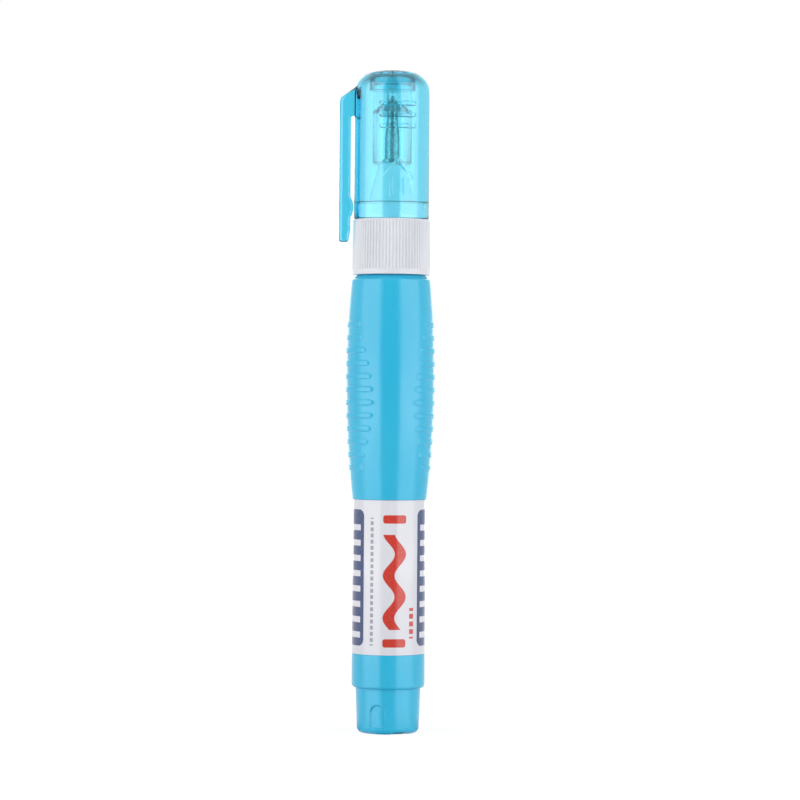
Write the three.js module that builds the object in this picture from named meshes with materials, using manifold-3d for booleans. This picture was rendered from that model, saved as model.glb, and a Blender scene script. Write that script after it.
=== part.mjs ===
// Squeeze correction pen: a clear cap with a pocket clip and an inner seal, a spring-loaded valve
// in a white nozzle, and a soft bottle that holds the fluid and a mixing ball.
// Millimetres. +Z runs along the pen, the clip points to -X, and the origin is the centre of the
// flat tail end, on which the pen stands.

import * as THREE from 'three';
import { mergeVertices } from 'three/addons/utils/BufferGeometryUtils.js';
import Module from 'manifold-3d';

const wasm = await Module();
wasm.setup();

// Clearances
const SEAT_GAP = 0.05;          // between two faces that rest on each other
const PRESS_GAP = 0.03;         // radial, pieces pressed together
const CAP_FIT = 0.06;           // radial, cap on its spigot
const POST_FIT = 0.2;           // radial, cap pushed over the tail
const COLLAR_PLAY = 0.12;       // radial, collar on the neck
const NEEDLE_PLAY = 0.06;       // radial, needle in the tip and in its guide
const FIT_CHAMFER = 0.25;       // lead-in at the mouth of a fit

// Bottle
const BOTTLE_HEIGHT = 93.1;     // base to shoulder
const BOTTLE_WALL = 0.8;
const BASE_THICKNESS = 1.2;
const BASE_ROUND = 1.2;
const BARREL_RADIUS = 7.42;     // straight lower part
const BELLY_RADIUS = 9.04;      // widest point
const BELLY_HEIGHT = 72;
const BELLY_FOOT_RADIUS = 7.57; // where the belly meets the label
const SHOULDER_RADIUS = 8.07;
const SHOULDER_CHAMFER = 1.25;  // inward
const SHOULDER_DROP = 1.05;     // and down
const TAIL_HEIGHT = 9.2;
const TAIL_DRAFT = 0.3;         // radius lost towards the base
const LIP_ROUND = 0.8;          // rounded ledge over the tail
const NECK_RADIUS = 5.8;
const NECK_WALL = 1;
const NECK_LENGTH = 8;
const SNAP_HEIGHT = 4.2;        // snap bead above the shoulder
const SNAP_RISE = 0.25;
const SNAP_LENGTH = 1.4;

// Orientation notch and thumb scoop in the tail
const NOTCH_ANGLE = -115;
const NOTCH_WIDTH = 3.3;
const NOTCH_HEIGHT = 4.7;
const NOTCH_START = 1.3;        // above the base
const NOTCH_DEPTH = 0.4;
const SCOOP_ANGLE = -68;
const SCOOP_RADIUS = 4;
const SCOOP_RISE = 0.55;
const SCOOP_DEPTH = 1.6;        // inward from the rim

// Grip ribs on the two sides of the belly
const GRIP_COUNT = 12;
const GRIP_PITCH = 2.64;
const GRIP_CENTRE = 68.5;
const GRIP_RISE = 0.16;
const GRIP_RIB_WIDTH = 1.3;
const GRIP_SPAN = 64;           // half angle of the longest rib
const GRIP_FIELD_ARC = 45;      // radius of the lens that ends the ribs

// Label
const LABEL_START = 16.1;
const LABEL_LENGTH = 31.4;
const LABEL_THICKNESS = 0.1;
const LABEL_SEAM = 0.8;

// Nozzle holder, clamped on the neck by the collar
const GASKET_THICKNESS = 0.5;
const FLANGE_THICKNESS = 1.2;
const CLAMP_WIDTH = 0.8;        // flange covered by the collar's lip
const LIP_THICKNESS = 1.45;
const PLUG_DEPTH = 3.2;
const PLUG_WALL = 1.1;
const CONE_LENGTH = 8.2;
const STEM_RADIUS = 2.75;
const STEM_LENGTH = 0.4;
const STEM_DRAFT = 0.3;
const CHAMBER_RADIUS = 2;
const TIP_SOCKET = 4.2;

// Collar
const COLLAR_FLARE = 0.17;      // wider towards the bottle
const COLLAR_RIBS = 72;
const COLLAR_RIB_RISE = 0.15;
const COLLAR_RIB_ROOT = 0.6;    // thickness of the fluted ring behind the valleys
const COLLAR_FOOT_BAND = 1.15;
const COLLAR_HEAD_BAND = 0.45;
const SPIGOT_LENGTH = 3.1;

// Spring seat and spring
const SEAT_RADIUS = 2.57;
const SEAT_THICKNESS = 1.8;
const FLOW_HOLES = 4;
const FLOW_HOLE_RADIUS = 0.42;
const FLOW_HOLE_PITCH = 1.55;
const SPRING_RADIUS = 1.2;
const SPRING_WIRE = 0.17;       // wire radius
const SPRING_TURNS = 6;
const SPRING_LENGTH = 5.2;

// Metal tip and needle
const TIP_SHANK_RADIUS = 1.62;
const TIP_BORE = 0.95;
const TIP_FLANGE_RADIUS = 2.15;
const TIP_FLANGE_THICKNESS = 0.7;
const TIP_LENGTH = 12.8;
const TIP_BODY_LENGTH = 4.6;     // straight part above the flange
const TIP_BODY_RADIUS = 1.5;
const TIP_END_RADIUS = 0.78;
const TIP_END_ROUND = 0.2;
const VALVE_SEAT_HEIGHT = 8.2;  // start of the inner cone above the holder's face
const VALVE_SEAT_LENGTH = 0.8;
const NEEDLE_POINT_RADIUS = 0.42;
const NEEDLE_BODY_RADIUS = 0.75;
const NEEDLE_FLANGE_RADIUS = 1.7;
const NEEDLE_FLANGE_THICKNESS = 0.8;
const NEEDLE_STEM_RADIUS = 0.6;
const NEEDLE_REACH = 0.6;       // point in front of the tip, and its travel

// Cap and inner seal
const CAP_RADIUS = 7.75;
const CAP_WALL = 1.2;
const CAP_CORNER = 4.4;
const CROWN_TILT = 10;          // slope at the edge of the crown
const CAP_MOUTH_GAP = 0.1;
const SKIRT_DEPTH = 3.3;
const SKIRT_STEP = 0.25;
const CROWN_RISE = 2.25;        // top of the crown above the seal
const SOCKET_WALL = 0.7;
const SOCKET_DEPTH = 2.15;      // length of the seal that the socket holds
const SEAL_RADIUS = 4;
const SEAL_WALL = 0.7;
const SEAL_END = 2.05;
const SEAL_COVER = 13;          // how far the seal reaches down from the end of the tip
const SEAL_ROUND = 0.6;
const SEAL_CONE_HEIGHT = 2.4;
const SEAL_POCKET_DEPTH = 0.5;  // how far the pocket reaches down over the tip
const SEAL_HEADROOM = 1.1;      // above the needle's point
const SEAL_FIT = 0.12;

// Pocket clip
const CLIP_WIDTH = 4;
const CLIP_THICKNESS = 2.5;
const CLIP_REACH = 3.11;        // outer face beyond the cap
const CLIP_DROP = 3.4;          // root below the top of the cap
const CLIP_SLOPE = 2.4;
const CLIP_CORNER = 1.9;
const CLIP_ROOT = 6.3;          // height of the root
const CLIP_OVERHANG = 4.85;     // tip below the mouth
const CLIP_TIP_TAPER = 0.6;
const CLIP_TAPER_LENGTH = 2.3;
const CLIP_TIP_ROUND = 0.5;
const CLIP_BEAD_HEIGHT = 2.3;   // above the mouth
const CLIP_BEAD_LENGTH = 4.2;
const CLIP_BEAD_GAP = 0.2;
const CLIP_BEVEL = 0.25;

const BALL_RADIUS = 2.4;

// Fineness of the round surfaces
const LARGE_SEGMENTS = 32;
const SMALL_SEGMENTS = 24;
const ROUND_STEPS = 3;
const BELLY_STEPS = 3;          // above the grip field, and below it
const SPRING_STEPS = 8;         // per turn
const SPRING_SIDES = 5;

// Sizes that follow from the ones above
const neckBore = NECK_RADIUS - NECK_WALL;
const neckTop = BOTTLE_HEIGHT + NECK_LENGTH;
const gasketStart = neckTop + SEAT_GAP;
const holderStart = gasketStart + GASKET_THICKNESS + SEAT_GAP;
const holderRadius = NECK_RADIUS - CLAMP_WIDTH;
const collarStart = BOTTLE_HEIGHT + SEAT_GAP;
const collarBore = NECK_RADIUS + COLLAR_PLAY;
const lipUnderside = holderStart + FLANGE_THICKNESS + SEAT_GAP - collarStart;
const collarLength = lipUnderside + LIP_THICKNESS;
const collarTopRadius = CAP_RADIUS;
const capStart = collarStart + collarLength + CAP_MOUTH_GAP;
const capBore = CAP_RADIUS - CAP_WALL;
const skirtBore = capBore + SKIRT_STEP;
const spigotRadius = skirtBore - CAP_FIT;
const tailRadius = skirtBore - POST_FIT;
const tailBaseRadius = tailRadius - TAIL_DRAFT;
const panelRadius = BARREL_RADIUS - LABEL_THICKNESS - SEAT_GAP;
const labelTop = LABEL_START + LABEL_LENGTH;
const shoulderStart = BOTTLE_HEIGHT - SHOULDER_DROP;
const gripStart = GRIP_CENTRE - (GRIP_COUNT * GRIP_PITCH) / 2;
const gripEnd = GRIP_CENTRE + (GRIP_COUNT * GRIP_PITCH) / 2;
const coneStart = collarStart + collarLength + SPIGOT_LENGTH - holderStart;
const holderLength = coneStart + CONE_LENGTH + STEM_LENGTH;
const seatBore = SEAT_RADIUS + PRESS_GAP;
const seatStart = FLANGE_THICKNESS - SEAT_THICKNESS / 2;
const springStart = holderStart + seatStart + SEAT_THICKNESS + SEAT_GAP;
const guideBore = NEEDLE_STEM_RADIUS + NEEDLE_PLAY;
const tipStart = holderStart + holderLength + SEAT_GAP;
const needleStart = springStart + SPRING_LENGTH + SEAT_GAP;
const needleTop = tipStart + TIP_LENGTH + NEEDLE_REACH;
const capLength = needleTop + SEAL_HEADROOM + SEAL_END + CROWN_RISE - capStart;
const sealStart = tipStart + TIP_LENGTH - SEAL_COVER;
const sealLength = needleTop + SEAL_HEADROOM + SEAL_END - sealStart;
const ballHeight = BASE_THICKNESS + SEAT_GAP + BALL_RADIUS;

const radians = THREE.MathUtils.degToRad;

// Outline of a turned piece, as (radius, height) points, with rounds as short chords.
class Profile {
  constructor() {
    this.points = [];
  }

  to(radius, height) {
    this.points.push(new THREE.Vector2(radius, height));
    return this;
  }

  // Arc about a centre: 0 degrees points outward and 90 degrees up.
  round(radius, height, size, from, to, steps = ROUND_STEPS) {
    for (let step = 0; step <= steps; step += 1) {
      const angle = radians(THREE.MathUtils.lerp(from, to, step / steps));
      this.to(radius + size * Math.cos(angle), height + size * Math.sin(angle));
    }
    return this;
  }

  // Follows a formula for the radius between two heights.
  follow(radiusAt, from, to, steps) {
    for (let step = 0; step <= steps; step += 1) {
      const height = THREE.MathUtils.lerp(from, to, step / steps);
      this.to(radiusAt(height), height);
    }
    return this;
  }

  // Low ridge, or groove in a bore, with sloping flanks.
  ridge(radius, centre, rise, length) {
    const side = Math.sign(length) * Math.abs(rise);
    return this.to(radius, centre - length / 2)
      .to(radius + rise, centre - length / 2 + side)
      .to(radius + rise, centre + length / 2 - side)
      .to(radius, centre + length / 2);
  }

  close() {
    return this.to(this.points[0].x, this.points[0].y);
  }
}

function signedVolume(positions, triangles) {
  const corners = [new THREE.Vector3(), new THREE.Vector3(), new THREE.Vector3()];
  let volume = 0;
  for (let i = 0; i < triangles.length; i += 3) {
    corners.forEach((corner, k) => corner.fromArray(positions, triangles[i + k] * 3));
    volume += corners[0].dot(corners[1].clone().cross(corners[2])) / 6;
  }
  return volume;
}

// Welds a closed geometry, drops its flat triangles and turns its faces outward.
function solidFrom(geometry) {
  const bare = geometry.clone();
  bare.deleteAttribute('normal');
  bare.deleteAttribute('uv');
  const welded = mergeVertices(bare);
  const positions = welded.getAttribute('position').array;
  const index = welded.getIndex().array;
  const triangles = [];
  for (let i = 0; i < index.length; i += 3) {
    const [a, b, c] = index.subarray(i, i + 3);
    if (a !== b && b !== c && c !== a) triangles.push(a, b, c);
  }
  if (signedVolume(positions, triangles) < 0) triangles.reverse();
  return new wasm.Manifold(new wasm.Mesh({
    numProp: 3,
    vertProperties: new Float32Array(positions),
    triVerts: new Uint32Array(triangles),
  }));
}

function revolve(profile, segments = LARGE_SEGMENTS) {
  return solidFrom(new THREE.LatheGeometry(profile.points, segments).rotateX(Math.PI / 2));
}

// Extrudes a shape, with the shape's own axes and its depth along the three directions given.
function extrudeAlong(shape, depth, across, up, outward, options = {}) {
  const geometry = new THREE.ExtrudeGeometry(shape, { depth, bevelEnabled: false, ...options });
  return geometry.applyMatrix4(new THREE.Matrix4().makeBasis(across, up, outward));
}

const AXIS_X = new THREE.Vector3(1, 0, 0);
const AXIS_Y = new THREE.Vector3(0, 1, 0);
const AXIS_Z = new THREE.Vector3(0, 0, 1);

// Bottle

// The side is widest at the belly and falls away to the shoulder and to the label.
function bellyRadiusAt(height) {
  const above = height > BELLY_HEIGHT;
  const end = above ? shoulderStart : labelTop;
  const endRadius = above ? SHOULDER_RADIUS : BELLY_FOOT_RADIUS;
  const part = (height - BELLY_HEIGHT) / (end - BELLY_HEIGHT);
  return BELLY_RADIUS - (BELLY_RADIUS - endRadius) * part * part;
}

function bottleProfile() {
  const lip = Math.min(LIP_ROUND, BARREL_RADIUS - tailRadius);
  const innerTail = tailBaseRadius - BOTTLE_WALL;
  const innerBarrel = panelRadius - BOTTLE_WALL;
  const innerRadiusAt = (height) => bellyRadiusAt(height) - BOTTLE_WALL;
  return new Profile()
    .to(0, 0)
    .round(tailBaseRadius - BASE_ROUND, BASE_ROUND, BASE_ROUND, -90, 0)
    .to(tailRadius, TAIL_HEIGHT)
    .round(BARREL_RADIUS - lip, TAIL_HEIGHT + lip, lip, -90, 0)
    .to(BARREL_RADIUS, LABEL_START)
    .to(panelRadius, LABEL_START)
    .to(panelRadius, labelTop)
    .follow(bellyRadiusAt, labelTop, gripStart, BELLY_STEPS)
    .follow(bellyRadiusAt, gripStart, gripEnd, GRIP_COUNT)
    .follow(bellyRadiusAt, gripEnd, shoulderStart, BELLY_STEPS)
    .to(SHOULDER_RADIUS - SHOULDER_CHAMFER, BOTTLE_HEIGHT)
    .to(NECK_RADIUS, BOTTLE_HEIGHT)
    .ridge(NECK_RADIUS, BOTTLE_HEIGHT + SNAP_HEIGHT, SNAP_RISE, SNAP_LENGTH)
    .to(NECK_RADIUS, neckTop)
    .to(neckBore, neckTop)
    .to(neckBore, BOTTLE_HEIGHT - BOTTLE_WALL)
    .follow(innerRadiusAt, shoulderStart - BOTTLE_WALL, labelTop, BELLY_STEPS + 1)
    .to(innerBarrel, labelTop - BOTTLE_WALL)
    .to(innerBarrel, TAIL_HEIGHT + lip + BOTTLE_WALL)
    .to(innerTail, TAIL_HEIGHT + BOTTLE_WALL)
    .round(innerTail - BASE_ROUND, BASE_THICKNESS + BASE_ROUND, BASE_ROUND, 0, -90)
    .to(0, BASE_THICKNESS);
}

function ribRing(height) {
  const foot = bellyRadiusAt(height) - BOTTLE_WALL / 2;
  return revolve(new Profile()
    .to(foot, height - GRIP_RIB_WIDTH / 2)
    .to(bellyRadiusAt(height) + GRIP_RISE, height)
    .to(foot, height + GRIP_RIB_WIDTH / 2)
    .close());
}

// Lens seen from the clip's side: it keeps the ribs on the two sides and shortens the outer ones.
function gripField() {
  const halfWidth = BELLY_RADIUS * Math.sin(radians(GRIP_SPAN));
  const centre = halfWidth - GRIP_FIELD_ARC;
  const sweep = Math.asin((gripEnd - GRIP_CENTRE) / GRIP_FIELD_ARC);
  const lens = new THREE.Shape();
  lens.absarc(centre, GRIP_CENTRE, GRIP_FIELD_ARC, -sweep, sweep);
  lens.absarc(-centre, GRIP_CENTRE, GRIP_FIELD_ARC, Math.PI - sweep, Math.PI + sweep);
  const reach = BELLY_RADIUS + GRIP_RISE + BOTTLE_WALL;
  const prism = extrudeAlong(lens, 2 * reach, AXIS_Y, AXIS_Z, AXIS_X, { curveSegments: ROUND_STEPS });
  return solidFrom(prism.translate(-reach, 0, 0));
}

function gripRibs() {
  const rings = Array.from({ length: GRIP_COUNT }, (_, row) => ribRing(gripStart + (row + 0.5) * GRIP_PITCH));
  return rings.reduce((sum, ring) => sum.add(ring)).intersect(gripField());
}

// Arch with a flat floor, open to the outside of the tail.
function notchCutter() {
  const half = NOTCH_WIDTH / 2;
  const arch = new THREE.Shape();
  arch.moveTo(-half, NOTCH_START);
  arch.lineTo(half, NOTCH_START);
  arch.absarc(0, NOTCH_START + NOTCH_HEIGHT - half, half, 0, Math.PI);
  const prism = extrudeAlong(arch, tailRadius, AXIS_Y, AXIS_Z, AXIS_X, { curveSegments: 2 * ROUND_STEPS });
  prism.translate(tailBaseRadius - NOTCH_DEPTH, 0, 0).rotateZ(radians(NOTCH_ANGLE));
  return solidFrom(prism);
}

// Shallow round bite out of the base's rim.
function scoopCutter() {
  const roller = new THREE.CylinderGeometry(SCOOP_RADIUS, SCOOP_RADIUS, tailRadius, SMALL_SEGMENTS);
  roller.rotateZ(Math.PI / 2);
  const inward = tailBaseRadius - SCOOP_DEPTH + tailRadius / 2;
  roller.translate(inward, 0, SCOOP_RISE - SCOOP_RADIUS).rotateZ(radians(SCOOP_ANGLE));
  return solidFrom(roller);
}

function bottle() {
  return revolve(bottleProfile())
    .add(gripRibs())
    .subtract(notchCutter())
    .subtract(scoopCutter());
}

function label() {
  const inner = panelRadius + PRESS_GAP;
  const outer = inner + LABEL_THICKNESS;
  const sleeve = revolve(new Profile()
    .to(inner, SEAT_GAP)
    .to(outer, SEAT_GAP)
    .to(outer, LABEL_LENGTH - SEAT_GAP)
    .to(inner, LABEL_LENGTH - SEAT_GAP)
    .close());
  const seam = new THREE.BoxGeometry(LABEL_SEAM, outer, 2 * LABEL_LENGTH).translate(0, outer, 0);
  return sleeve.subtract(solidFrom(seam));
}

function mixingBall() {
  return solidFrom(new THREE.SphereGeometry(BALL_RADIUS, (2 * SMALL_SEGMENTS) / 3, SMALL_SEGMENTS / 3));
}

// Collar and nozzle

function gasket() {
  return revolve(new Profile()
    .to(neckBore, 0)
    .to(NECK_RADIUS, 0)
    .to(NECK_RADIUS, GASKET_THICKNESS)
    .to(neckBore, GASKET_THICKNESS)
    .close());
}

function collarRadiusAt(height) {
  return collarTopRadius + COLLAR_FLARE * (1 - height / collarLength);
}

function collarCore() {
  const ribTop = collarLength - COLLAR_HEAD_BAND;
  const backing = collarTopRadius - COLLAR_RIB_RISE - COLLAR_RIB_ROOT / 2;
  const spigotTop = collarLength + SPIGOT_LENGTH;
  const lipBore = holderRadius + COLLAR_PLAY;
  const snapCentre = BOTTLE_HEIGHT + SNAP_HEIGHT - collarStart;
  const snapLength = SNAP_LENGTH + 2 * COLLAR_PLAY;
  return revolve(new Profile()
    .to(collarBore, 0)
    .to(collarRadiusAt(0), 0)
    .to(collarRadiusAt(COLLAR_FOOT_BAND), COLLAR_FOOT_BAND)
    .to(backing, COLLAR_FOOT_BAND)
    .to(backing, ribTop)
    .to(collarRadiusAt(ribTop), ribTop)
    .to(collarTopRadius, collarLength)
    .to(spigotRadius, collarLength)
    .to(spigotRadius, spigotTop - FIT_CHAMFER)
    .to(spigotRadius - FIT_CHAMFER, spigotTop)
    .to(lipBore, spigotTop)
    .to(lipBore, lipUnderside)
    .to(collarBore, lipUnderside)
    .ridge(collarBore, snapCentre, SNAP_RISE, -snapLength)
    .close());
}

// Fine upright ribs, as one fluted ring that tapers with the collar.
function collarRibs() {
  const outline = new THREE.Shape();
  const pitch = (2 * Math.PI) / COLLAR_RIBS;
  const valley = collarTopRadius - COLLAR_RIB_RISE;
  const point = (radius, angle) => new THREE.Vector2(radius * Math.cos(angle), radius * Math.sin(angle));
  const flutes = Array.from({ length: COLLAR_RIBS }, (_, rib) => [
    point(valley, rib * pitch),
    point(collarTopRadius, (rib + 0.5) * pitch),
  ]);
  outline.setFromPoints(flutes.flat());
  outline.holes.push(new THREE.Path().absarc(0, 0, valley - COLLAR_RIB_ROOT, 0, 2 * Math.PI));
  const ribLength = collarLength - COLLAR_FOOT_BAND - COLLAR_HEAD_BAND;
  const ring = extrudeAlong(outline, ribLength + SEAT_GAP, AXIS_X, AXIS_Y, AXIS_Z);
  ring.translate(0, 0, COLLAR_FOOT_BAND - SEAT_GAP / 2);
  const place = ring.getAttribute('position');
  for (let i = 0; i < place.count; i += 1) {
    const scale = collarRadiusAt(place.getZ(i)) / collarTopRadius;
    place.setXY(i, place.getX(i) * scale, place.getY(i) * scale);
  }
  return solidFrom(ring);
}

function collar() {
  return collarCore().add(collarRibs());
}

function nozzleHolder() {
  const plugRadius = neckBore - PRESS_GAP;
  const plugBore = plugRadius - PLUG_WALL;
  const stemStart = coneStart + CONE_LENGTH;
  const tipBore = TIP_SHANK_RADIUS + PRESS_GAP;
  const seatStep = seatStart + SEAT_THICKNESS + SEAT_GAP / 2;
  return revolve(new Profile()
    .to(plugBore, -PLUG_DEPTH)
    .to(plugRadius - FIT_CHAMFER, -PLUG_DEPTH)
    .to(plugRadius, FIT_CHAMFER - PLUG_DEPTH)
    .to(plugRadius, 0)
    .to(NECK_RADIUS, 0)
    .to(NECK_RADIUS, FLANGE_THICKNESS)
    .to(holderRadius, FLANGE_THICKNESS)
    .to(holderRadius, coneStart)
    .to(STEM_RADIUS, stemStart)
    .to(STEM_RADIUS - STEM_DRAFT, holderLength)
    .to(tipBore, holderLength)
    .to(tipBore, holderLength - TIP_SOCKET)
    .to(CHAMBER_RADIUS, holderLength - TIP_SOCKET)
    .to(CHAMBER_RADIUS, seatStep)
    .to(seatBore, seatStep)
    .to(seatBore, 0)
    .to(plugBore, seatBore - plugBore)
    .close());
}

function springSeat() {
  const disc = revolve(new Profile()
    .to(guideBore, 0)
    .to(SEAT_RADIUS, 0)
    .to(SEAT_RADIUS, SEAT_THICKNESS)
    .to(guideBore, SEAT_THICKNESS)
    .close(), SMALL_SEGMENTS);
  const hole = new THREE.CylinderGeometry(
    FLOW_HOLE_RADIUS, FLOW_HOLE_RADIUS, 3 * SEAT_THICKNESS, SMALL_SEGMENTS / 3);
  hole.rotateX(Math.PI / 2).translate(FLOW_HOLE_PITCH, 0, 0);
  const turns = Array.from({ length: FLOW_HOLES }, (_, k) => (2 * Math.PI * k) / FLOW_HOLES);
  return turns.reduce((seat, turn) => seat.subtract(solidFrom(hole.clone().rotateZ(turn))), disc);
}

// Wire's centre line, standing on its lower turn.
class Coil extends THREE.Curve {
  getPoint(part, target = new THREE.Vector3()) {
    const angle = 2 * Math.PI * SPRING_TURNS * part;
    const height = THREE.MathUtils.lerp(SPRING_WIRE, SPRING_LENGTH - SPRING_WIRE, part);
    return target.set(SPRING_RADIUS * Math.cos(angle), SPRING_RADIUS * Math.sin(angle), height);
  }
}

function valveSpring() {
  const section = new THREE.Shape().absarc(0, 0, SPRING_WIRE, 0, 2 * Math.PI);
  const corners = section.getSpacedPoints(SPRING_SIDES).slice(0, SPRING_SIDES);
  return solidFrom(new THREE.ExtrudeGeometry(new THREE.Shape(corners), {
    steps: SPRING_TURNS * SPRING_STEPS,
    extrudePath: new Coil(),
  }));
}

function valveTip() {
  const pointBore = NEEDLE_POINT_RADIUS + NEEDLE_PLAY;
  const shankEnd = TIP_SOCKET - SEAT_GAP - PRESS_GAP;
  return revolve(new Profile()
    .to(TIP_BORE, -shankEnd)
    .to(TIP_SHANK_RADIUS, -shankEnd)
    .to(TIP_SHANK_RADIUS, 0)
    .to(TIP_FLANGE_RADIUS, 0)
    .to(TIP_FLANGE_RADIUS, TIP_FLANGE_THICKNESS)
    .to(TIP_BODY_RADIUS, TIP_FLANGE_THICKNESS)
    .to(TIP_BODY_RADIUS, TIP_FLANGE_THICKNESS + TIP_BODY_LENGTH)
    .round(TIP_END_RADIUS - TIP_END_ROUND, TIP_LENGTH - TIP_END_ROUND, TIP_END_ROUND, 0, 90)
    .to(pointBore, TIP_LENGTH)
    .to(pointBore, VALVE_SEAT_HEIGHT + VALVE_SEAT_LENGTH)
    .to(TIP_BORE, VALVE_SEAT_HEIGHT)
    .close(), SMALL_SEGMENTS);
}

// The shoulder under the point lies along the tip's inner cone and shuts it.
function valveNeedle() {
  const pointBore = NEEDLE_POINT_RADIUS + NEEDLE_PLAY;
  const slope = VALVE_SEAT_LENGTH / (TIP_BORE - pointBore);
  const seatFoot = tipStart + VALVE_SEAT_HEIGHT - needleStart;
  const shoulderFoot = seatFoot + (TIP_BORE - NEEDLE_BODY_RADIUS) * slope - SEAT_GAP;
  const shoulderEnd = shoulderFoot + (NEEDLE_BODY_RADIUS - NEEDLE_POINT_RADIUS) * slope;
  const length = needleTop - needleStart;
  const stemEnd = holderStart + seatStart + SEAT_THICKNESS / 2 + NEEDLE_REACH - needleStart;
  return revolve(new Profile()
    .to(0, stemEnd)
    .to(NEEDLE_STEM_RADIUS, stemEnd)
    .to(NEEDLE_STEM_RADIUS, 0)
    .to(NEEDLE_FLANGE_RADIUS, 0)
    .to(NEEDLE_FLANGE_RADIUS, NEEDLE_FLANGE_THICKNESS)
    .to(NEEDLE_BODY_RADIUS, NEEDLE_FLANGE_THICKNESS)
    .to(NEEDLE_BODY_RADIUS, shoulderFoot)
    .to(NEEDLE_POINT_RADIUS, shoulderEnd)
    .round(0, length - NEEDLE_POINT_RADIUS, NEEDLE_POINT_RADIUS, 0, 90), SMALL_SEGMENTS);
}

// Cap

// Half outline of the domed end, inset by a wall: the crown's edge runs into the corner round.
function domeCorner(inset) {
  const centreRadius = CAP_RADIUS - CAP_CORNER;
  const edge = centreRadius + CAP_CORNER * Math.cos(radians(90 - CROWN_TILT));
  const crownRadius = edge / Math.sin(radians(CROWN_TILT));
  const crownDrop = crownRadius * (1 - Math.cos(radians(CROWN_TILT)));
  const centreHeight = capLength - crownDrop - CAP_CORNER * Math.sin(radians(90 - CROWN_TILT));
  return { centreRadius, centreHeight, size: CAP_CORNER - inset, crownRadius };
}

function capTube() {
  const outer = domeCorner(0);
  const inner = domeCorner(CAP_WALL);
  const socketBore = SEAL_RADIUS + PRESS_GAP;
  const socketRadius = socketBore + SOCKET_WALL;
  const socketMouth = capLength - CROWN_RISE - SOCKET_DEPTH;
  const cornerAt = (radius) => {
    const across = THREE.MathUtils.clamp((radius - inner.centreRadius) / inner.size, -1, 1);
    return THREE.MathUtils.radToDeg(Math.acos(across));
  };
  const socketRoof = inner.centreHeight + inner.size * Math.sin(radians(cornerAt(socketBore)));
  const crownCentre = capLength - outer.crownRadius;
  return revolve(new Profile()
    .to(skirtBore + FIT_CHAMFER / 2, 0)
    .to(CAP_RADIUS - FIT_CHAMFER / 2, 0)
    .to(CAP_RADIUS, FIT_CHAMFER / 2)
    .round(outer.centreRadius, outer.centreHeight, outer.size, 0, 90 - CROWN_TILT, 2 * ROUND_STEPS)
    .round(0, crownCentre, outer.crownRadius, 90 - CROWN_TILT / 2, 90, 2)
    .round(0, crownCentre, outer.crownRadius - CAP_WALL, 90, 90 - CROWN_TILT / 2, 1)
    .to(socketBore, socketRoof)
    .to(socketBore, socketMouth)
    .to(socketRadius, socketMouth)
    .round(inner.centreRadius, inner.centreHeight, inner.size, cornerAt(socketRadius), 0)
    .to(capBore, SKIRT_DEPTH)
    .to(skirtBore, SKIRT_DEPTH)
    .to(skirtBore, FIT_CHAMFER / 2)
    .close());
}

// Side view of the clip, as distance from the pen's axis and height above the mouth.
function clipShape() {
  const outer = CAP_RADIUS + CLIP_REACH;
  const inner = outer - CLIP_THICKNESS;
  const root = CAP_RADIUS - CAP_WALL / 2;
  const rootTop = capLength - CLIP_DROP;
  const slopeEnd = rootTop - CLIP_SLOPE;
  const rootFoot = rootTop - CLIP_ROOT;
  const footRound = (inner - CAP_RADIUS) / 2;
  const tip = -CLIP_OVERHANG;
  const beadCrest = CAP_RADIUS + CLIP_BEAD_GAP;
  const beadFoot = CLIP_BEAD_HEIGHT - CLIP_BEAD_LENGTH / 2;
  const beadHead = CLIP_BEAD_HEIGHT + CLIP_BEAD_LENGTH / 2;
  const shape = new THREE.Shape();
  shape.moveTo(root, rootTop);
  shape.lineTo(root, rootFoot);
  shape.lineTo(CAP_RADIUS + footRound, rootFoot);
  shape.quadraticCurveTo(inner, rootFoot, inner, rootFoot - footRound);
  shape.lineTo(inner, beadHead);
  shape.quadraticCurveTo(2 * beadCrest - inner, CLIP_BEAD_HEIGHT, inner, beadFoot);
  shape.lineTo(inner, tip + CLIP_TAPER_LENGTH);
  shape.lineTo(inner + CLIP_TIP_TAPER, tip);
  shape.lineTo(outer - CLIP_TIP_ROUND, tip);
  shape.quadraticCurveTo(outer, tip, outer, tip + CLIP_TIP_ROUND);
  shape.lineTo(outer, slopeEnd - CLIP_CORNER);
  shape.quadraticCurveTo(outer, slopeEnd, outer - CLIP_CORNER / 2, slopeEnd + CLIP_CORNER / 4);
  return shape;
}

function clip() {
  const flatWidth = CLIP_WIDTH - 2 * CLIP_BEVEL;
  const bar = extrudeAlong(clipShape(), flatWidth, AXIS_X.clone().negate(), AXIS_Z, AXIS_Y, {
    bevelEnabled: true,
    bevelSegments: 1,
    bevelSize: CLIP_BEVEL,
    bevelThickness: CLIP_BEVEL,
    bevelOffset: -CLIP_BEVEL,
    curveSegments: ROUND_STEPS,
  });
  return solidFrom(bar.translate(0, CLIP_BEVEL - CLIP_WIDTH / 2, 0));
}

function capShell() {
  return capTube().add(clip());
}

// Soft liner that hangs in the cap's socket and closes over the tip.
function innerSeal() {
  const bore = SEAL_RADIUS - SEAL_WALL;
  const pocketRadius = TIP_END_RADIUS + SEAL_FIT;
  const pocketFoot = SEAL_COVER - SEAL_POCKET_DEPTH;
  const pocketTop = sealLength - SEAL_END;
  return revolve(new Profile()
    .to(bore, 0)
    .to(SEAL_RADIUS, 0)
    .round(SEAL_RADIUS - SEAL_ROUND, sealLength - SEAL_ROUND, SEAL_ROUND, 0, 90, 2)
    .to(0, sealLength)
    .to(0, pocketTop)
    .to(pocketRadius, pocketTop)
    .to(pocketRadius, pocketFoot)
    .to(bore, pocketFoot - SEAL_CONE_HEIGHT)
    .close());
}

// Finishes

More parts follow.
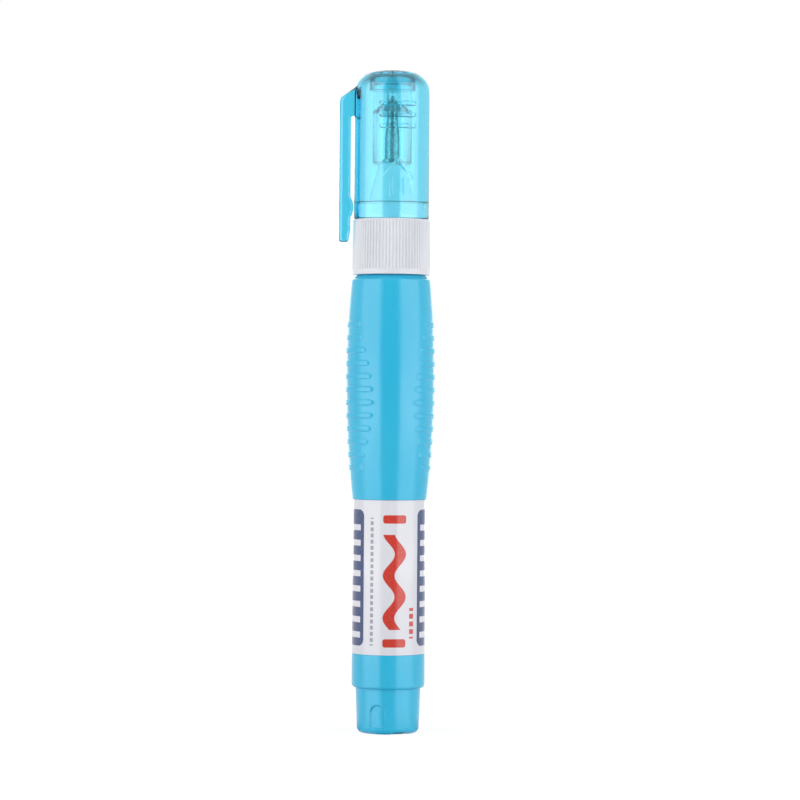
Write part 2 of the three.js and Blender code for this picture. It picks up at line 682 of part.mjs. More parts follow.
function finish(color, roughness, options = {}) {
  return new THREE.MeshStandardMaterial({ color, roughness, metalness: 0, ...options });
}

const clearBlue = finish('#4cc8f0', 0.08, { transparent: true, opacity: 0.55 });
const softBlue = finish('#4fb9dd', 0.35);
const coolWhite = finish('#d5d8e2', 0.45);
const milkyLiner = finish('#dff2f7', 0.4, { transparent: true, opacity: 0.6 });
const acetal = finish('#ecebe6', 0.5);
const sealWhite = finish('#e3e5e6', 0.7);
const printedFilm = finish('#e2e2ec', 0.3);
const nickel = finish('#b9bcc0', 0.22, { metalness: 1 });
const steel = finish('#9fa3a8', 0.3, { metalness: 1 });

// Turns a solid into a named mesh that stands at its height on the pen.
function piece(name, solid, material, height = 0) {
  const { vertProperties, triVerts } = solid.getMesh();
  const geometry = new THREE.BufferGeometry();
  geometry.setAttribute('position', new THREE.BufferAttribute(vertProperties, 3));
  geometry.setIndex(new THREE.BufferAttribute(triVerts, 1));
  geometry.computeVertexNormals();
  const mesh = new THREE.Mesh(geometry, material);
  mesh.name = name;
  mesh.position.z = height;
  return mesh;
}

function assembly(...pieces) {
  return new THREE.Group().add(...pieces);
}

const body = assembly(
  piece('bottle', bottle(), softBlue),
  piece('label', label(), printedFilm, LABEL_START),
  piece('mixing_ball', mixingBall(), steel, ballHeight),
);

const nozzle = assembly(
  piece('neck_gasket', gasket(), sealWhite, gasketStart),
  piece('collar', collar(), coolWhite, collarStart),
  piece('nozzle_holder', nozzleHolder(), coolWhite, holderStart),
  piece('spring_seat', springSeat(), acetal, holderStart + seatStart),
  piece('valve_spring', valveSpring(), steel, springStart),
  piece('valve_needle', valveNeedle(), steel, needleStart),
  piece('valve_tip', valveTip(), nickel, tipStart),
);

const cap = assembly(
  piece('cap_shell', capShell(), clearBlue, capStart),
  piece('inner_seal_cap', innerSeal(), milkyLiner, sealStart),
);

export default assembly(body, nozzle, cap);
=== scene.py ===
"""Visual model of a squeeze correction pen.

Dresses the pen's CAD frame for a studio picture: a blue squeeze bottle with a ribbed grip and a
printed label, a ribbed white collar, and a clear blue cap with a pocket clip, through which the pale
nozzle, the liner and the metal tip show. Sizes are in millimetres in the classes and turn into metres
when a mesh is made. The pen stands on its tail, +Z is along it and -X is towards the clip.
"""

import logging
import math
from dataclasses import dataclass, field
from enum import Enum
from typing import Sequence, Union

import bpy
import numpy as np
from mathutils import Matrix, Vector


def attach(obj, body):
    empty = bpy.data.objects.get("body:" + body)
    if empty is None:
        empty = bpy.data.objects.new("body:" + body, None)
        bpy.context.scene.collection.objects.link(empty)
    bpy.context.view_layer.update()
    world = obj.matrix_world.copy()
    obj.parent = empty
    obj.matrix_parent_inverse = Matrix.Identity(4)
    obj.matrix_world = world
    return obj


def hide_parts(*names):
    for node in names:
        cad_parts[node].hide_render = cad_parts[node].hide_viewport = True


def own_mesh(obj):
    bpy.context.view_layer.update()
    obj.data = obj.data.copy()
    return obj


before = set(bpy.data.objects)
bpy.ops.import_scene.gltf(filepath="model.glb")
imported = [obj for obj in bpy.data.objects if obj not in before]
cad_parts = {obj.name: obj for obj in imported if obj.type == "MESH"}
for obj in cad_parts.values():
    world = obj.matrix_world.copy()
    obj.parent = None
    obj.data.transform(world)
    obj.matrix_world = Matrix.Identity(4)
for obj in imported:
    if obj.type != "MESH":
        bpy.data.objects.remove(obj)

MM = 0.001
CREASE = math.radians(32.0)
LOG = logging.getLogger("pen")

Colour = tuple[float, float, float, float]
Faces = list[tuple[int, ...]]
Corner = tuple[float, ...]
Source = Union[float, Sequence[float], bpy.types.NodeSocket, None]


class Body(str, Enum):
    """The rigid bodies of the pen."""

    PEN = "body"
    CAP = "cap"
    NEEDLE = "needle"
    BALL = "ball"


# Small helpers for numbers, outlines and meshes


def linear(code: str) -> Colour:
    """Turns an sRGB hex colour into linear RGBA.

    Args:
        code: A colour such as "#5fbde3".

    Returns:
        Linear red, green, blue and an alpha of one.
    """
    parts = [int(code[i:i + 2], 16) / 255 for i in (1, 3, 5)]
    lit = [c / 12.92 if c <= 0.04045 else ((c + 0.055) / 1.055) ** 2.4 for c in parts]
    return (lit[0], lit[1], lit[2], 1.0)


def eased(low: float, high: float, value: np.ndarray) -> np.ndarray:
    """Eases from 0 at low to 1 at high.

    Args:
        low: Where the result leaves 0.
        high: Where the result reaches 1.
        value: The numbers to ease.

    Returns:
        Numbers from 0 to 1 on a smooth curve.
    """
    part = np.clip((value - low) / (high - low), 0.0, 1.0)
    return part * part * (3.0 - 2.0 * part)


def arc(centre: Corner, radius: float, start: float, end: float, steps: int = 12) -> list[Corner]:
    """Samples an arc.

    Args:
        centre: Centre of the arc.
        radius: Its radius.
        start: First angle in degrees.
        end: Last angle in degrees.
        steps: Number of segments.

    Returns:
        The points, both ends included.
    """
    angles = np.radians(np.linspace(start, end, steps + 1))
    return [(centre[0] + radius * math.cos(a), centre[1] + radius * math.sin(a)) for a in angles]


def rounded(corners: Sequence[Corner], closed: bool = False, steps: int = 6) -> np.ndarray:
    """Rounds the corners of an outline.

    Args:
        corners: (r, z), or (r, z, radius) for a corner that is rounded.
        closed: Whether the last corner joins the first.
        steps: Segments in each rounded corner.

    Returns:
        The outline's points, one in each row.
    """
    points: list[np.ndarray] = []
    count = len(corners)
    for index, corner in enumerate(corners):
        here = np.array(corner[:2], dtype=float)
        radius = corner[2] if len(corner) > 2 else 0.0
        if radius == 0.0 or (not closed and index in (0, count - 1)):
            points.append(here)
            continue
        before = np.array(corners[index - 1][:2], dtype=float) - here
        after = np.array(corners[(index + 1) % count][:2], dtype=float) - here
        before /= np.linalg.norm(before)
        after /= np.linalg.norm(after)
        half = math.acos(float(np.clip(before @ after, -1.0, 1.0))) / 2
        middle = (before + after) / np.linalg.norm(before + after)
        centre = here + middle * radius / math.sin(half)
        first = here + before * radius / math.tan(half) - centre
        side = math.copysign(1.0, before[0] * after[1] - before[1] * after[0])
        start = math.atan2(first[1], first[0])
        for step in range(steps + 1):
            angle = start - side * (math.pi - 2 * half) * step / steps
            points.append(centre + radius * np.array((math.cos(angle), math.sin(angle))))
    return np.array(points)


def refined(path: np.ndarray, low: float, high: float, step: float, inner: float) -> np.ndarray:
    """Splits the long segments of part of an outline.

    Args:
        path: The outline.
        low: Lowest height of the part.
        high: Highest height of the part.
        step: Longest segment that is left there.
        inner: Segments nearer to the axis than this stay as they are.

    Returns:
        The outline with more points.
    """
    points = [path[0]]
    for start, end in zip(path[:-1], path[1:]):
        middle = (start + end) / 2
        pieces = 1
        if low <= middle[1] <= high and middle[0] >= inner:
            pieces = max(1, math.ceil(float(np.linalg.norm(end - start)) / step))
        points.extend(start + (end - start) * (k + 1) / pieces for k in range(pieces))
    return np.array(points)


def spaced(coarse: float, fine: float, centre: float, half: float) -> np.ndarray:
    """Spreads angles over a full turn, closer together in one zone.

    Args:
        coarse: Usual step in degrees.
        fine: Step in the zone.
        centre: Middle of the zone.
        half: Half its width.

    Returns:
        The angles in radians.
    """
    angles = [-180.0]
    while True:
        step = fine if abs(angles[-1] - centre) <= half else coarse
        if angles[-1] + step > 180.0 - step / 2:
            return np.radians(angles)
        angles.append(angles[-1] + step)


@dataclass
class Turning:
    """A turned surface: a row of points for each point of an outline, a column for each angle."""

    path: np.ndarray
    angles: np.ndarray
    closed: bool = False
    full_turn: bool = True
    radius: np.ndarray = field(init=False)
    height: np.ndarray = field(init=False)
    angle: np.ndarray = field(init=False)

    def __post_init__(self) -> None:
        """Spreads the outline over the angles."""
        rows, columns = len(self.path), len(self.angles)
        self.radius = np.repeat(self.path[:, :1], columns, axis=1)
        self.height = np.repeat(self.path[:, 1:], columns, axis=1)
        self.angle = np.repeat(self.angles[None, :], rows, axis=0)

    def skin(self) -> tuple[np.ndarray, Faces]:
        """Joins the points into a closed surface.

        Returns:
            The points and the faces, with points on the axis shared by all angles.
        """
        rows, columns = self.radius.shape
        x = self.radius * np.cos(self.angle)
        y = self.radius * np.sin(self.angle)
        points = np.stack([x, y, self.height], axis=-1).reshape(-1, 3)
        index = np.arange(rows * columns).reshape(rows, columns)
        poles = self.path[:, 0] < 1e-9
        index[poles] = index[poles][:, :1]
        faces: Faces = []
        for i in range(rows if self.closed else rows - 1):
            here, above = index[i], index[(i + 1) % rows]
            for j in range(columns if self.full_turn else columns - 1):
                k = (j + 1) % columns
                loop = (here[j], here[k], above[k], above[j])
                faces.append(tuple(int(v) for v in dict.fromkeys(loop)))
        if not self.full_turn:
            faces += [tuple(index[:, 0].tolist()), tuple(index[::-1, -1].tolist())]
        used = np.unique(np.concatenate([np.array(face) for face in faces]))
        renumber = np.full(rows * columns, -1)
        renumber[used] = np.arange(len(used))
        return points[used], [tuple(int(renumber[v]) for v in face) for face in faces]


def lofted(rings: np.ndarray) -> tuple[np.ndarray, Faces]:
    """Joins a row of rings into a closed surface with a flat face at each end.

    Args:
        rings: The points by ring, going round clockwise as seen against the row's direction.

    Returns:
        The points and the faces.
    """
    points = rings.reshape(-1, 3)
    count = rings.shape[1]
    last = len(points) - count
    faces: Faces = [tuple(range(count))]
    for low in range(0, last, count):
        for i in range(count):
            k = (i + 1) % count
            faces.append((low + k, low + i, low + count + i, low + count + k))
    faces.append(tuple(range(last, len(points)))[::-1])
    return points, faces


def shaded(mesh: bpy.types.Mesh) -> None:
    """Shades a mesh smooth, with its sharper edges left crisp."""
    mesh.polygons.foreach_set("use_smooth", [True] * len(mesh.polygons))
    mesh.set_sharp_from_angle(angle=CREASE)


def solid(name: str, points: np.ndarray, faces: Faces) -> bpy.types.Object:
    """Makes a mesh object of points in millimetres.

    Args:
        name: Name of the object.
        points: The points.
        faces: The faces, facing outward.

    Returns:
        The object, shaded smooth.
    """
    mesh = bpy.data.meshes.new(name)
    mesh.from_pydata((points * MM).tolist(), [], faces)
    shaded(mesh)
    made = bpy.data.objects.new(name, mesh)
    bpy.context.scene.collection.objects.link(made)
    return made


def joined(main_part: bpy.types.Object, other: bpy.types.Object) -> None:
    """Fuses another solid into a solid, as one moulding.

    Args:
        main_part: The solid that takes the result.
        other: The solid that goes into it.
    """
    union = main_part.modifiers.new("one moulding", "BOOLEAN")
    union.operation = "UNION"
    union.solver = "MANIFOLD"
    union.object = other
    graph = bpy.context.evaluated_depsgraph_get()
    fused = bpy.data.meshes.new_from_object(main_part.evaluated_get(graph))
    main_part.modifiers.clear()
    main_part.data = fused
    shaded(fused)
    bpy.data.objects.remove(other)


# Finishes


class Graph:
    """The node tree of one material or world, filled node by node."""

    def __init__(self, tree: bpy.types.NodeTree) -> None:
        """Empties the tree."""
        self.tree = tree
        self.tree.nodes.clear()

    def add(self, kind: str, *inputs: Source, out: Union[int, str] = 0,
            named: Union[dict, None] = None, **settings: object) -> bpy.types.NodeSocket:
        """Adds a node with its settings and its links.

        Args:
            kind: Shader node type without its prefix.
            inputs: Values or sockets for the first inputs, None to leave one alone.
            out: The output that is wanted.
            named: Values or sockets for inputs by name or number.
            settings: Properties of the node.

        Returns:
            The wanted output socket.
        """
        node = self.tree.nodes.new("ShaderNode" + kind)
        for key, value in settings.items():
            setattr(node, key, value)
        for key, value in list(enumerate(inputs)) + list((named or {}).items()):
            if isinstance(value, bpy.types.NodeSocket):
                self.tree.links.new(value, node.inputs[key])
            elif value is not None:
                node.inputs[key].default_value = value
        return node.outputs[out] if len(node.outputs) else node.inputs[0]

    def place(self, stretch: Sequence[float] = (1.0, 1.0, 1.0)) -> bpy.types.NodeSocket:
        """Finds the place on the object in millimetres, stretched along the axes."""
        spot = self.add("TexCoord", out="Object")
        return self.add("VectorMath", spot, [s / MM for s in stretch], operation="MULTIPLY")

    def lumps(self, size: float, detail: float = 2.0,
              stretch: Sequence[float] = (1.0, 1.0, 1.0)) -> bpy.types.NodeSocket:
        """Spreads a soft pattern from 0 to 1 whose lumps are about size millimetres."""
        given = {"Vector": self.place(stretch), "Scale": 1.0 / size, "Detail": detail}
        return self.add("TexNoise", named=given)

    def painted(self, ground: str, *coats: tuple[Source, str]) -> Source:
        """Lays coats of colour over a ground.

        Args:
            ground: The ground's sRGB hex colour.
            coats: For each coat, where it lies and its sRGB hex colour.

        Returns:
            The colour that is seen.
        """
        colour: Source = linear(ground)
        for where, code in coats:
            given = {0: where, 6: colour, 7: linear(code)}
            colour = self.add("Mix", out=2, data_type="RGBA", named=given)
        return colour

    def relief(self, *waves: tuple[Source, float]) -> Source:
        """Lays patterns over each other as fine relief.

        Args:
            waves: Each pattern with its depth in millimetres.

        Returns:
            The direction in which the surface then faces.
        """
        facing: Source = None
        for wave, depth in waves:
            given = {"Distance": depth * MM, "Height": wave, "Normal": facing}
            facing = self.add("Bump", named=given)
        return facing


def new_graph(name: str) -> tuple[bpy.types.Material, Graph]:
    """Starts a material.

    Args:
        name: The material's name.

    Returns:
        The material and its empty node tree.
    """
    material = bpy.data.materials.new(name)
    material.use_nodes = True
    return material, Graph(material.node_tree)


@dataclass(frozen=True)
class OpaquePlastic:
    """A moulded plastic with pigment: light goes in a little way and comes out soft."""

    name: str
    colour: str
    thin_colour: str
    roughness: float = 0.38
    ior: float = 1.49
    depth_mm: float = 0.5
    subsurface: float = 0.1
    cloud_mm: float = 8.0
    skin_mm: float = 0.2
    skin_depth_mm: float = 0.001
    flow_depth_mm: float = 0.0
    flow_mm: float = 7.0

    def material(self) -> bpy.types.Material:
        """Builds the material.

        Returns:
            A dielectric with uneven pigment, a fine moulded skin, faint flow waves and rub marks.
        """
        made, graph = new_graph(self.name)
        # Uneven pigment: the colour drifts a little over the wall, as in thin moulded parts
        cloud = graph.lumps(self.cloud_mm, 3.0, (1.0, 1.0, 0.5))
        thin = graph.add("MapRange", cloud, 0.35, 0.65)
        # Rub marks: patches where handling has polished or dulled the skin
        rub = graph.lumps(self.cloud_mm * 0.6, 4.0, (1.0, 1.0, 0.35))
        roughness = graph.add("MapRange", rub, 0.3, 0.7, self.roughness * 0.85,
                              self.roughness * 1.2)
        # The mould's fine grain breaks the edge of every highlight
        waves = [(graph.lumps(self.skin_mm), self.skin_depth_mm)]
        if self.flow_depth_mm:
            # Slow waves from the melt, which make the long highlights wander
            waves.append((graph.lumps(self.flow_mm, 1.0, (1.0, 1.0, 0.4)), self.flow_depth_mm))
        surface = graph.add("BsdfPrincipled", named={
            "Base Color": graph.painted(self.colour, (thin, self.thin_colour)),
            "Roughness": roughness, "IOR": self.ior, "Normal": graph.relief(*waves),
            "Subsurface Weight": self.subsurface, "Subsurface Scale": self.depth_mm * MM,
            "Subsurface Radius": (0.6, 0.9, 1.0)})
        graph.add("OutputMaterial", surface)
        return made


@dataclass(frozen=True)
class ClearPlastic:
    """A tinted transparent plastic: the colour is in the wall's depth, so thick parts are deeper."""

    name: str
    tint: str
    density: float
    skin_tint: str
    roughness: float
    ior: float
    wave_depth_mm: float

    def material(self) -> bpy.types.Material:
        """Builds the material.

        Returns:
            A refracting surface with faint handling marks and waves over an absorbing inside.
        """
        made, graph = new_graph(self.name)
        # Fine scuffs along the cap, from pockets and fingers, haze the clear wall a little
        scuff = graph.lumps(0.5, 4.0, (1.0, 1.0, 0.15))
        haze = graph.add("Math", scuff, graph.lumps(5.0, 3.0), operation="MULTIPLY")
        roughness = graph.add("MapRange", haze, 0.22, 0.42, self.roughness * 0.6,
                              self.roughness * 1.8)
        # Slight shrinkage waves bend what is seen through the wall
        wave = graph.lumps(4.0, 1.0, (1.0, 1.0, 0.5))
        surface = graph.add("BsdfPrincipled", named={
            "Base Color": linear(self.skin_tint), "Roughness": roughness, "IOR": self.ior,
            "Transmission Weight": 1.0, "Normal": graph.relief((wave, self.wave_depth_mm))})
        # Lamp light reaches what is inside, as it does through a thin clear wall
        shadow = graph.add("LightPath", out="Is Shadow Ray")
        open_wall = graph.add("BsdfTransparent", linear(self.skin_tint))
        surface = graph.add("MixShader", shadow, surface, open_wall)
        inside = graph.add("VolumeAbsorption", linear(self.tint), self.density)
        graph.add("OutputMaterial", surface, inside)
        return made


@dataclass(frozen=True)
class Metal:
    """A bright metal, turned or drawn."""

    name: str
    colour: str
    worn_colour: str
    mark_mm: float
    mark_depth_mm: float
    stretch: tuple[float, float, float]
    roughness: float = 0.25
    wear_mm: float = 1.2

    def material(self) -> bpy.types.Material:
        """Builds the material.

        Returns:
            A metal with tool marks, a slightly uneven tone and fine wear.
        """
        made, graph = new_graph(self.name)
        # Tool marks: a noise drawn out across the cut catches the light in fine streaks
        mark = graph.lumps(self.mark_mm, 3.0, self.stretch)
        roughness = graph.add("MapRange", mark, 0.3, 0.7, self.roughness * 0.7,
                              self.roughness * 1.4)
        worn = graph.add("MapRange", graph.lumps(self.wear_mm, 3.0), 0.35, 0.7)
        surface = graph.add("BsdfPrincipled", named={
            "Base Color": graph.painted(self.colour, (worn, self.worn_colour)), "Metallic": 1.0,
            "Roughness": roughness, "Normal": graph.relief((mark, self.mark_depth_mm))})
        graph.add("OutputMaterial", surface)
        return made


@dataclass(frozen=True)
class Dashes:
    """A column of small printed dashes."""

    ink: str
    across: float
    half_width: float
    middle: float
    reach: float
    pitch: float


@dataclass(frozen=True)
class PrintedFilm:
    """Glossy film with a generic print: navy panels with pale bars and a red wave between them."""

    name: str
    radius: float
    ground: str = "#e2e0e8"
    ground_far: str = "#d8d9e0"
    navy: str = "#354876"
    red: str = "#cb301c"
    roughness: float = 0.14
    ior: float = 1.5
    wave_depth_mm: float = 0.012
    ink_edge: float = 0.06
    panel_edge: float = 0.05
    panels: tuple[float, ...] = (-12.9, 12.6)
    panel_height: float = 31.7
    panel_half: tuple[float, float] = (6.7, 13.8)
    panel_corner: float = 1.4
    bar_pitch: float = 3.1
    bar_half: float = 0.6
    bars_height: float = 31.0
    bars_half: tuple[float, float] = (5.7, 11.9)
    bars_corner: float = 0.6
    wave_pitch: float = 8.6
    wave_swing: float = 1.2
    wave_across: float = 0.55
    wave_half: float = 1.2
    wave_height: float = 30.9
    wave_reach: float = 9.6
    stops: tuple[float, ...] = (18.6, 43.6)
    stop_half: tuple[float, float] = (2.4, 0.85)
    stop_corner: float = 0.5
    columns: tuple[Dashes, ...] = (
        Dashes("#8f919f", across=-4.2, half_width=0.34, middle=31.0, reach=12.9, pitch=1.24),
        Dashes("#cb301c", across=4.3, half_width=0.5, middle=22.6, reach=3.1, pitch=1.55))

    def overlap(self, graph: Graph, *masks: Source) -> Source:
        """Finds what several masks share.

        Args:
            graph: The material's nodes.
            masks: The masks.

        Returns:
            The mask of what lies in all of them.
        """
        shared = masks[0]
        for mask in masks[1:]:
            shared = graph.add("Math", shared, mask, operation="MULTIPLY")
        return shared

    def band(self, graph: Graph, value: Source, centre: Source, half: float) -> Source:
        """Masks the values near a centre, with an edge as soft as ink's.

        Args:
            graph: The material's nodes.
            value: The value that is looked at.
            centre: Middle of the band.
            half: Half its width.

        Returns:
            One in the band and zero outside.
        """
        off = graph.add("Math", value, centre, operation="SUBTRACT")
        off = graph.add("Math", off, operation="ABSOLUTE")
        return graph.add("MapRange", off, half - self.ink_edge, half + self.ink_edge, 1.0, 0.0)

    def panel(self, graph: Graph, spot: Sequence[Source], centre: Sequence[float],
              half: Sequence[float], corner: float) -> Source:
        """Masks a rounded rectangle.

        Args:
            graph: The material's nodes.
            spot: Distance round the label, and height.
            centre: Middle of the rectangle.
            half: Half its width and height.
            corner: Radius of its corners.

        Returns:
            One inside and zero outside.
        """
        reach = []
        for value, middle, size in zip(spot, centre, half):
            off = graph.add("Math", value, middle, operation="SUBTRACT")
            off = graph.add("Math", off, operation="ABSOLUTE")
            off = graph.add("Math", off, size - corner, operation="SUBTRACT")
            reach.append(graph.add("Math", off, 0.0, operation="MAXIMUM"))
        pair = graph.add("CombineXYZ", *reach)
        far = graph.add("VectorMath", pair, operation="LENGTH", out="Value")
        return graph.add("MapRange", far, corner - self.panel_edge, corner + self.panel_edge,
                         1.0, 0.0)

    def inks(self, graph: Graph) -> list[tuple[Source, str]]:
        """Draws the print.

        Args:
            graph: The material's nodes.

        Returns:
            Where each ink lies, and its colour, in the order of printing.
        """
        place = graph.place()
        x, y, up = (graph.add("SeparateXYZ", place, out=axis) for axis in "XYZ")
        away = graph.add("Math", y, -1.0, operation="MULTIPLY")
        turn = graph.add("Math", x, away, operation="ARCTAN2")
        across = graph.add("Math", turn, self.radius, operation="MULTIPLY")
        spot = (across, up)
        inks = [(graph.lumps(9.0), self.ground_far)]
        # Navy panels at both sides, crossed by pale bars
        for middle in self.panels:
            mask = self.panel(graph, spot, (middle, self.panel_height), self.panel_half,
                              self.panel_corner)
            beat = graph.add("Math", up, self.bar_pitch, operation="FLOORED_MODULO")
            bars = self.band(graph, beat, self.bar_pitch / 2, self.bar_half)
            inset = self.panel(graph, spot, (middle, self.bars_height), self.bars_half,
                               self.bars_corner)
            inks += [(mask, self.navy), (self.overlap(graph, bars, inset), self.ground)]
        # A red wave, with a red stop below it and above it
        phase = graph.add("Math", up, 2 * math.pi / self.wave_pitch, operation="MULTIPLY")
        swing = graph.add("Math", phase, operation="SINE")
        path = graph.add("Math", swing, self.wave_swing, self.wave_across,
                         operation="MULTIPLY_ADD")
        wave = self.band(graph, across, path, self.wave_half)
        span = self.band(graph, up, self.wave_height, self.wave_reach)
        inks.append((self.overlap(graph, wave, span), self.red))
        for height in self.stops:
            stop = self.panel(graph, spot, (self.wave_across, height), self.stop_half,
                              self.stop_corner)
            inks.append((stop, self.red))
        # Small grey dashes on one side of the wave and a few red ones on the other
        for column in self.columns:
            beat = graph.add("Math", up, column.pitch, operation="FLOORED_MODULO")
            dash = self.band(graph, beat, column.pitch / 2, column.pitch * 0.32)
            line = self.band(graph, across, column.across, column.half_width)
            span = self.band(graph, up, column.middle, column.reach)
            inks.append((self.overlap(graph, dash, line, span), column.ink))
        return inks

    def material(self) -> bpy.types.Material:
        """Builds the material.

        Returns:
            Inked film under gloss, with ink mottle, film waves and rubbed patches.
        """
        made, graph = new_graph(self.name)
        # Ink mottle: the screen print lies a little unevenly
        mottle = graph.add("MapRange", graph.lumps(0.35), 0.3, 0.7, 0.0, 0.06)
        colour = graph.painted(self.ground, *self.inks(graph), (mottle, self.ground))
        rub = graph.lumps(3.0, 4.0, (1.0, 1.0, 0.4))
        roughness = graph.add("MapRange", rub, 0.3, 0.7, self.roughness * 0.7,
                              self.roughness * 1.5)
        # The film follows the wall under it, so its gloss wanders a little
        wave = graph.lumps(6.0, 1.0, (1.0, 1.0, 0.5))
        surface = graph.add("BsdfPrincipled", named={
            "Base Color": colour, "Roughness": roughness, "IOR": self.ior,
            "Normal": graph.relief((wave, self.wave_depth_mm))})
        graph.add("OutputMaterial", surface)
        return made


# A polished blow mould leaves an even, glossy blue with long highlights that wander a little
BLOWN_BLUE = OpaquePlastic("blow-moulded blue polypropylene", "#2ab6dd", "#36bbe0", roughness=0.22,
                           depth_mm=0.6, subsurface=0.15, cloud_mm=14.0, skin_mm=0.22,
                           skin_depth_mm=0.0012, flow_depth_mm=0.02)
# A satin mould leaves a soft white with broad, dull highlights
MOULDED_WHITE = OpaquePlastic("injection-moulded white polypropylene", "#d6d9df", "#dddfe5",
                              skin_depth_mm=0.0012)
# The nozzle's white is warmer, as it has no blue in its pigment
NOZZLE_WHITE = OpaquePlastic("injection-moulded white nozzle polypropylene", "#d9d6d4", "#dfdddc",
                             roughness=0.35, cloud_mm=5.0)
# Acetal looks creamy and a little waxy
ACETAL = OpaquePlastic("injection-moulded white acetal", "#e6e4de", "#efeee9", roughness=0.4,
                       ior=1.48, depth_mm=0.4, cloud_mm=2.0, skin_mm=0.15)
# The cut cells of a foam leave it dull and speckled
WASHER_FOAM = OpaquePlastic("die-cut polyethylene foam", "#dde6e8", "#eef3f4", roughness=0.7,
                            ior=1.5, depth_mm=0.4, cloud_mm=0.8, skin_mm=0.12,
                            skin_depth_mm=0.006)
# Polystyrene is as clear as glass, and its tint deepens where a wall is seen along its length
CLEAR_BLUE = ClearPlastic("clear blue moulded polystyrene", tint="#00e9f8", density=640.0,
                          skin_tint="#f0fbfd", roughness=0.04, ior=1.59, wave_depth_mm=0.003)
# Polyethylene without pigment is a little hazy, so that the tip shows softly behind it
LINER_CLEAR = ClearPlastic("natural moulded polyethylene", tint="#cbedf3", density=80.0,
                           skin_tint="#ffffff", roughness=0.1, ior=1.51, wave_depth_mm=0.0006)
# Fine rings from the lathe show under bright nickel
NICKEL = Metal("turned nickel-plated brass", "#a6abaa", "#929896", mark_mm=0.08,
               mark_depth_mm=0.0006, stretch=(0.1, 0.1, 1.0))
# Drawing leaves fine lines along the steel, which stretch its highlights
STEEL = Metal("drawn stainless steel", "#b9bbbd", "#a9abae", mark_mm=0.1, mark_depth_mm=0.0008,
              stretch=(1.0, 1.0, 0.12))


# Pieces

Finish = Union[OpaquePlastic, ClearPlastic, Metal, PrintedFilm]


def fitted(made: bpy.types.Object, finish: Finish, body: Body, node: str) -> None:
    """Gives a piece its finish and its place in the frame.

    Args:
        made: The piece.
        finish: Its finish.
        body: The body it moves with.
        node: The CAD node it stands for.
    """
    made.data.materials.clear()
    made.data.materials.append(finish.material())
    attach(made, body.value)
    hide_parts(node)
    LOG.info("%s: %d faces", made.name, len(made.data.polygons))


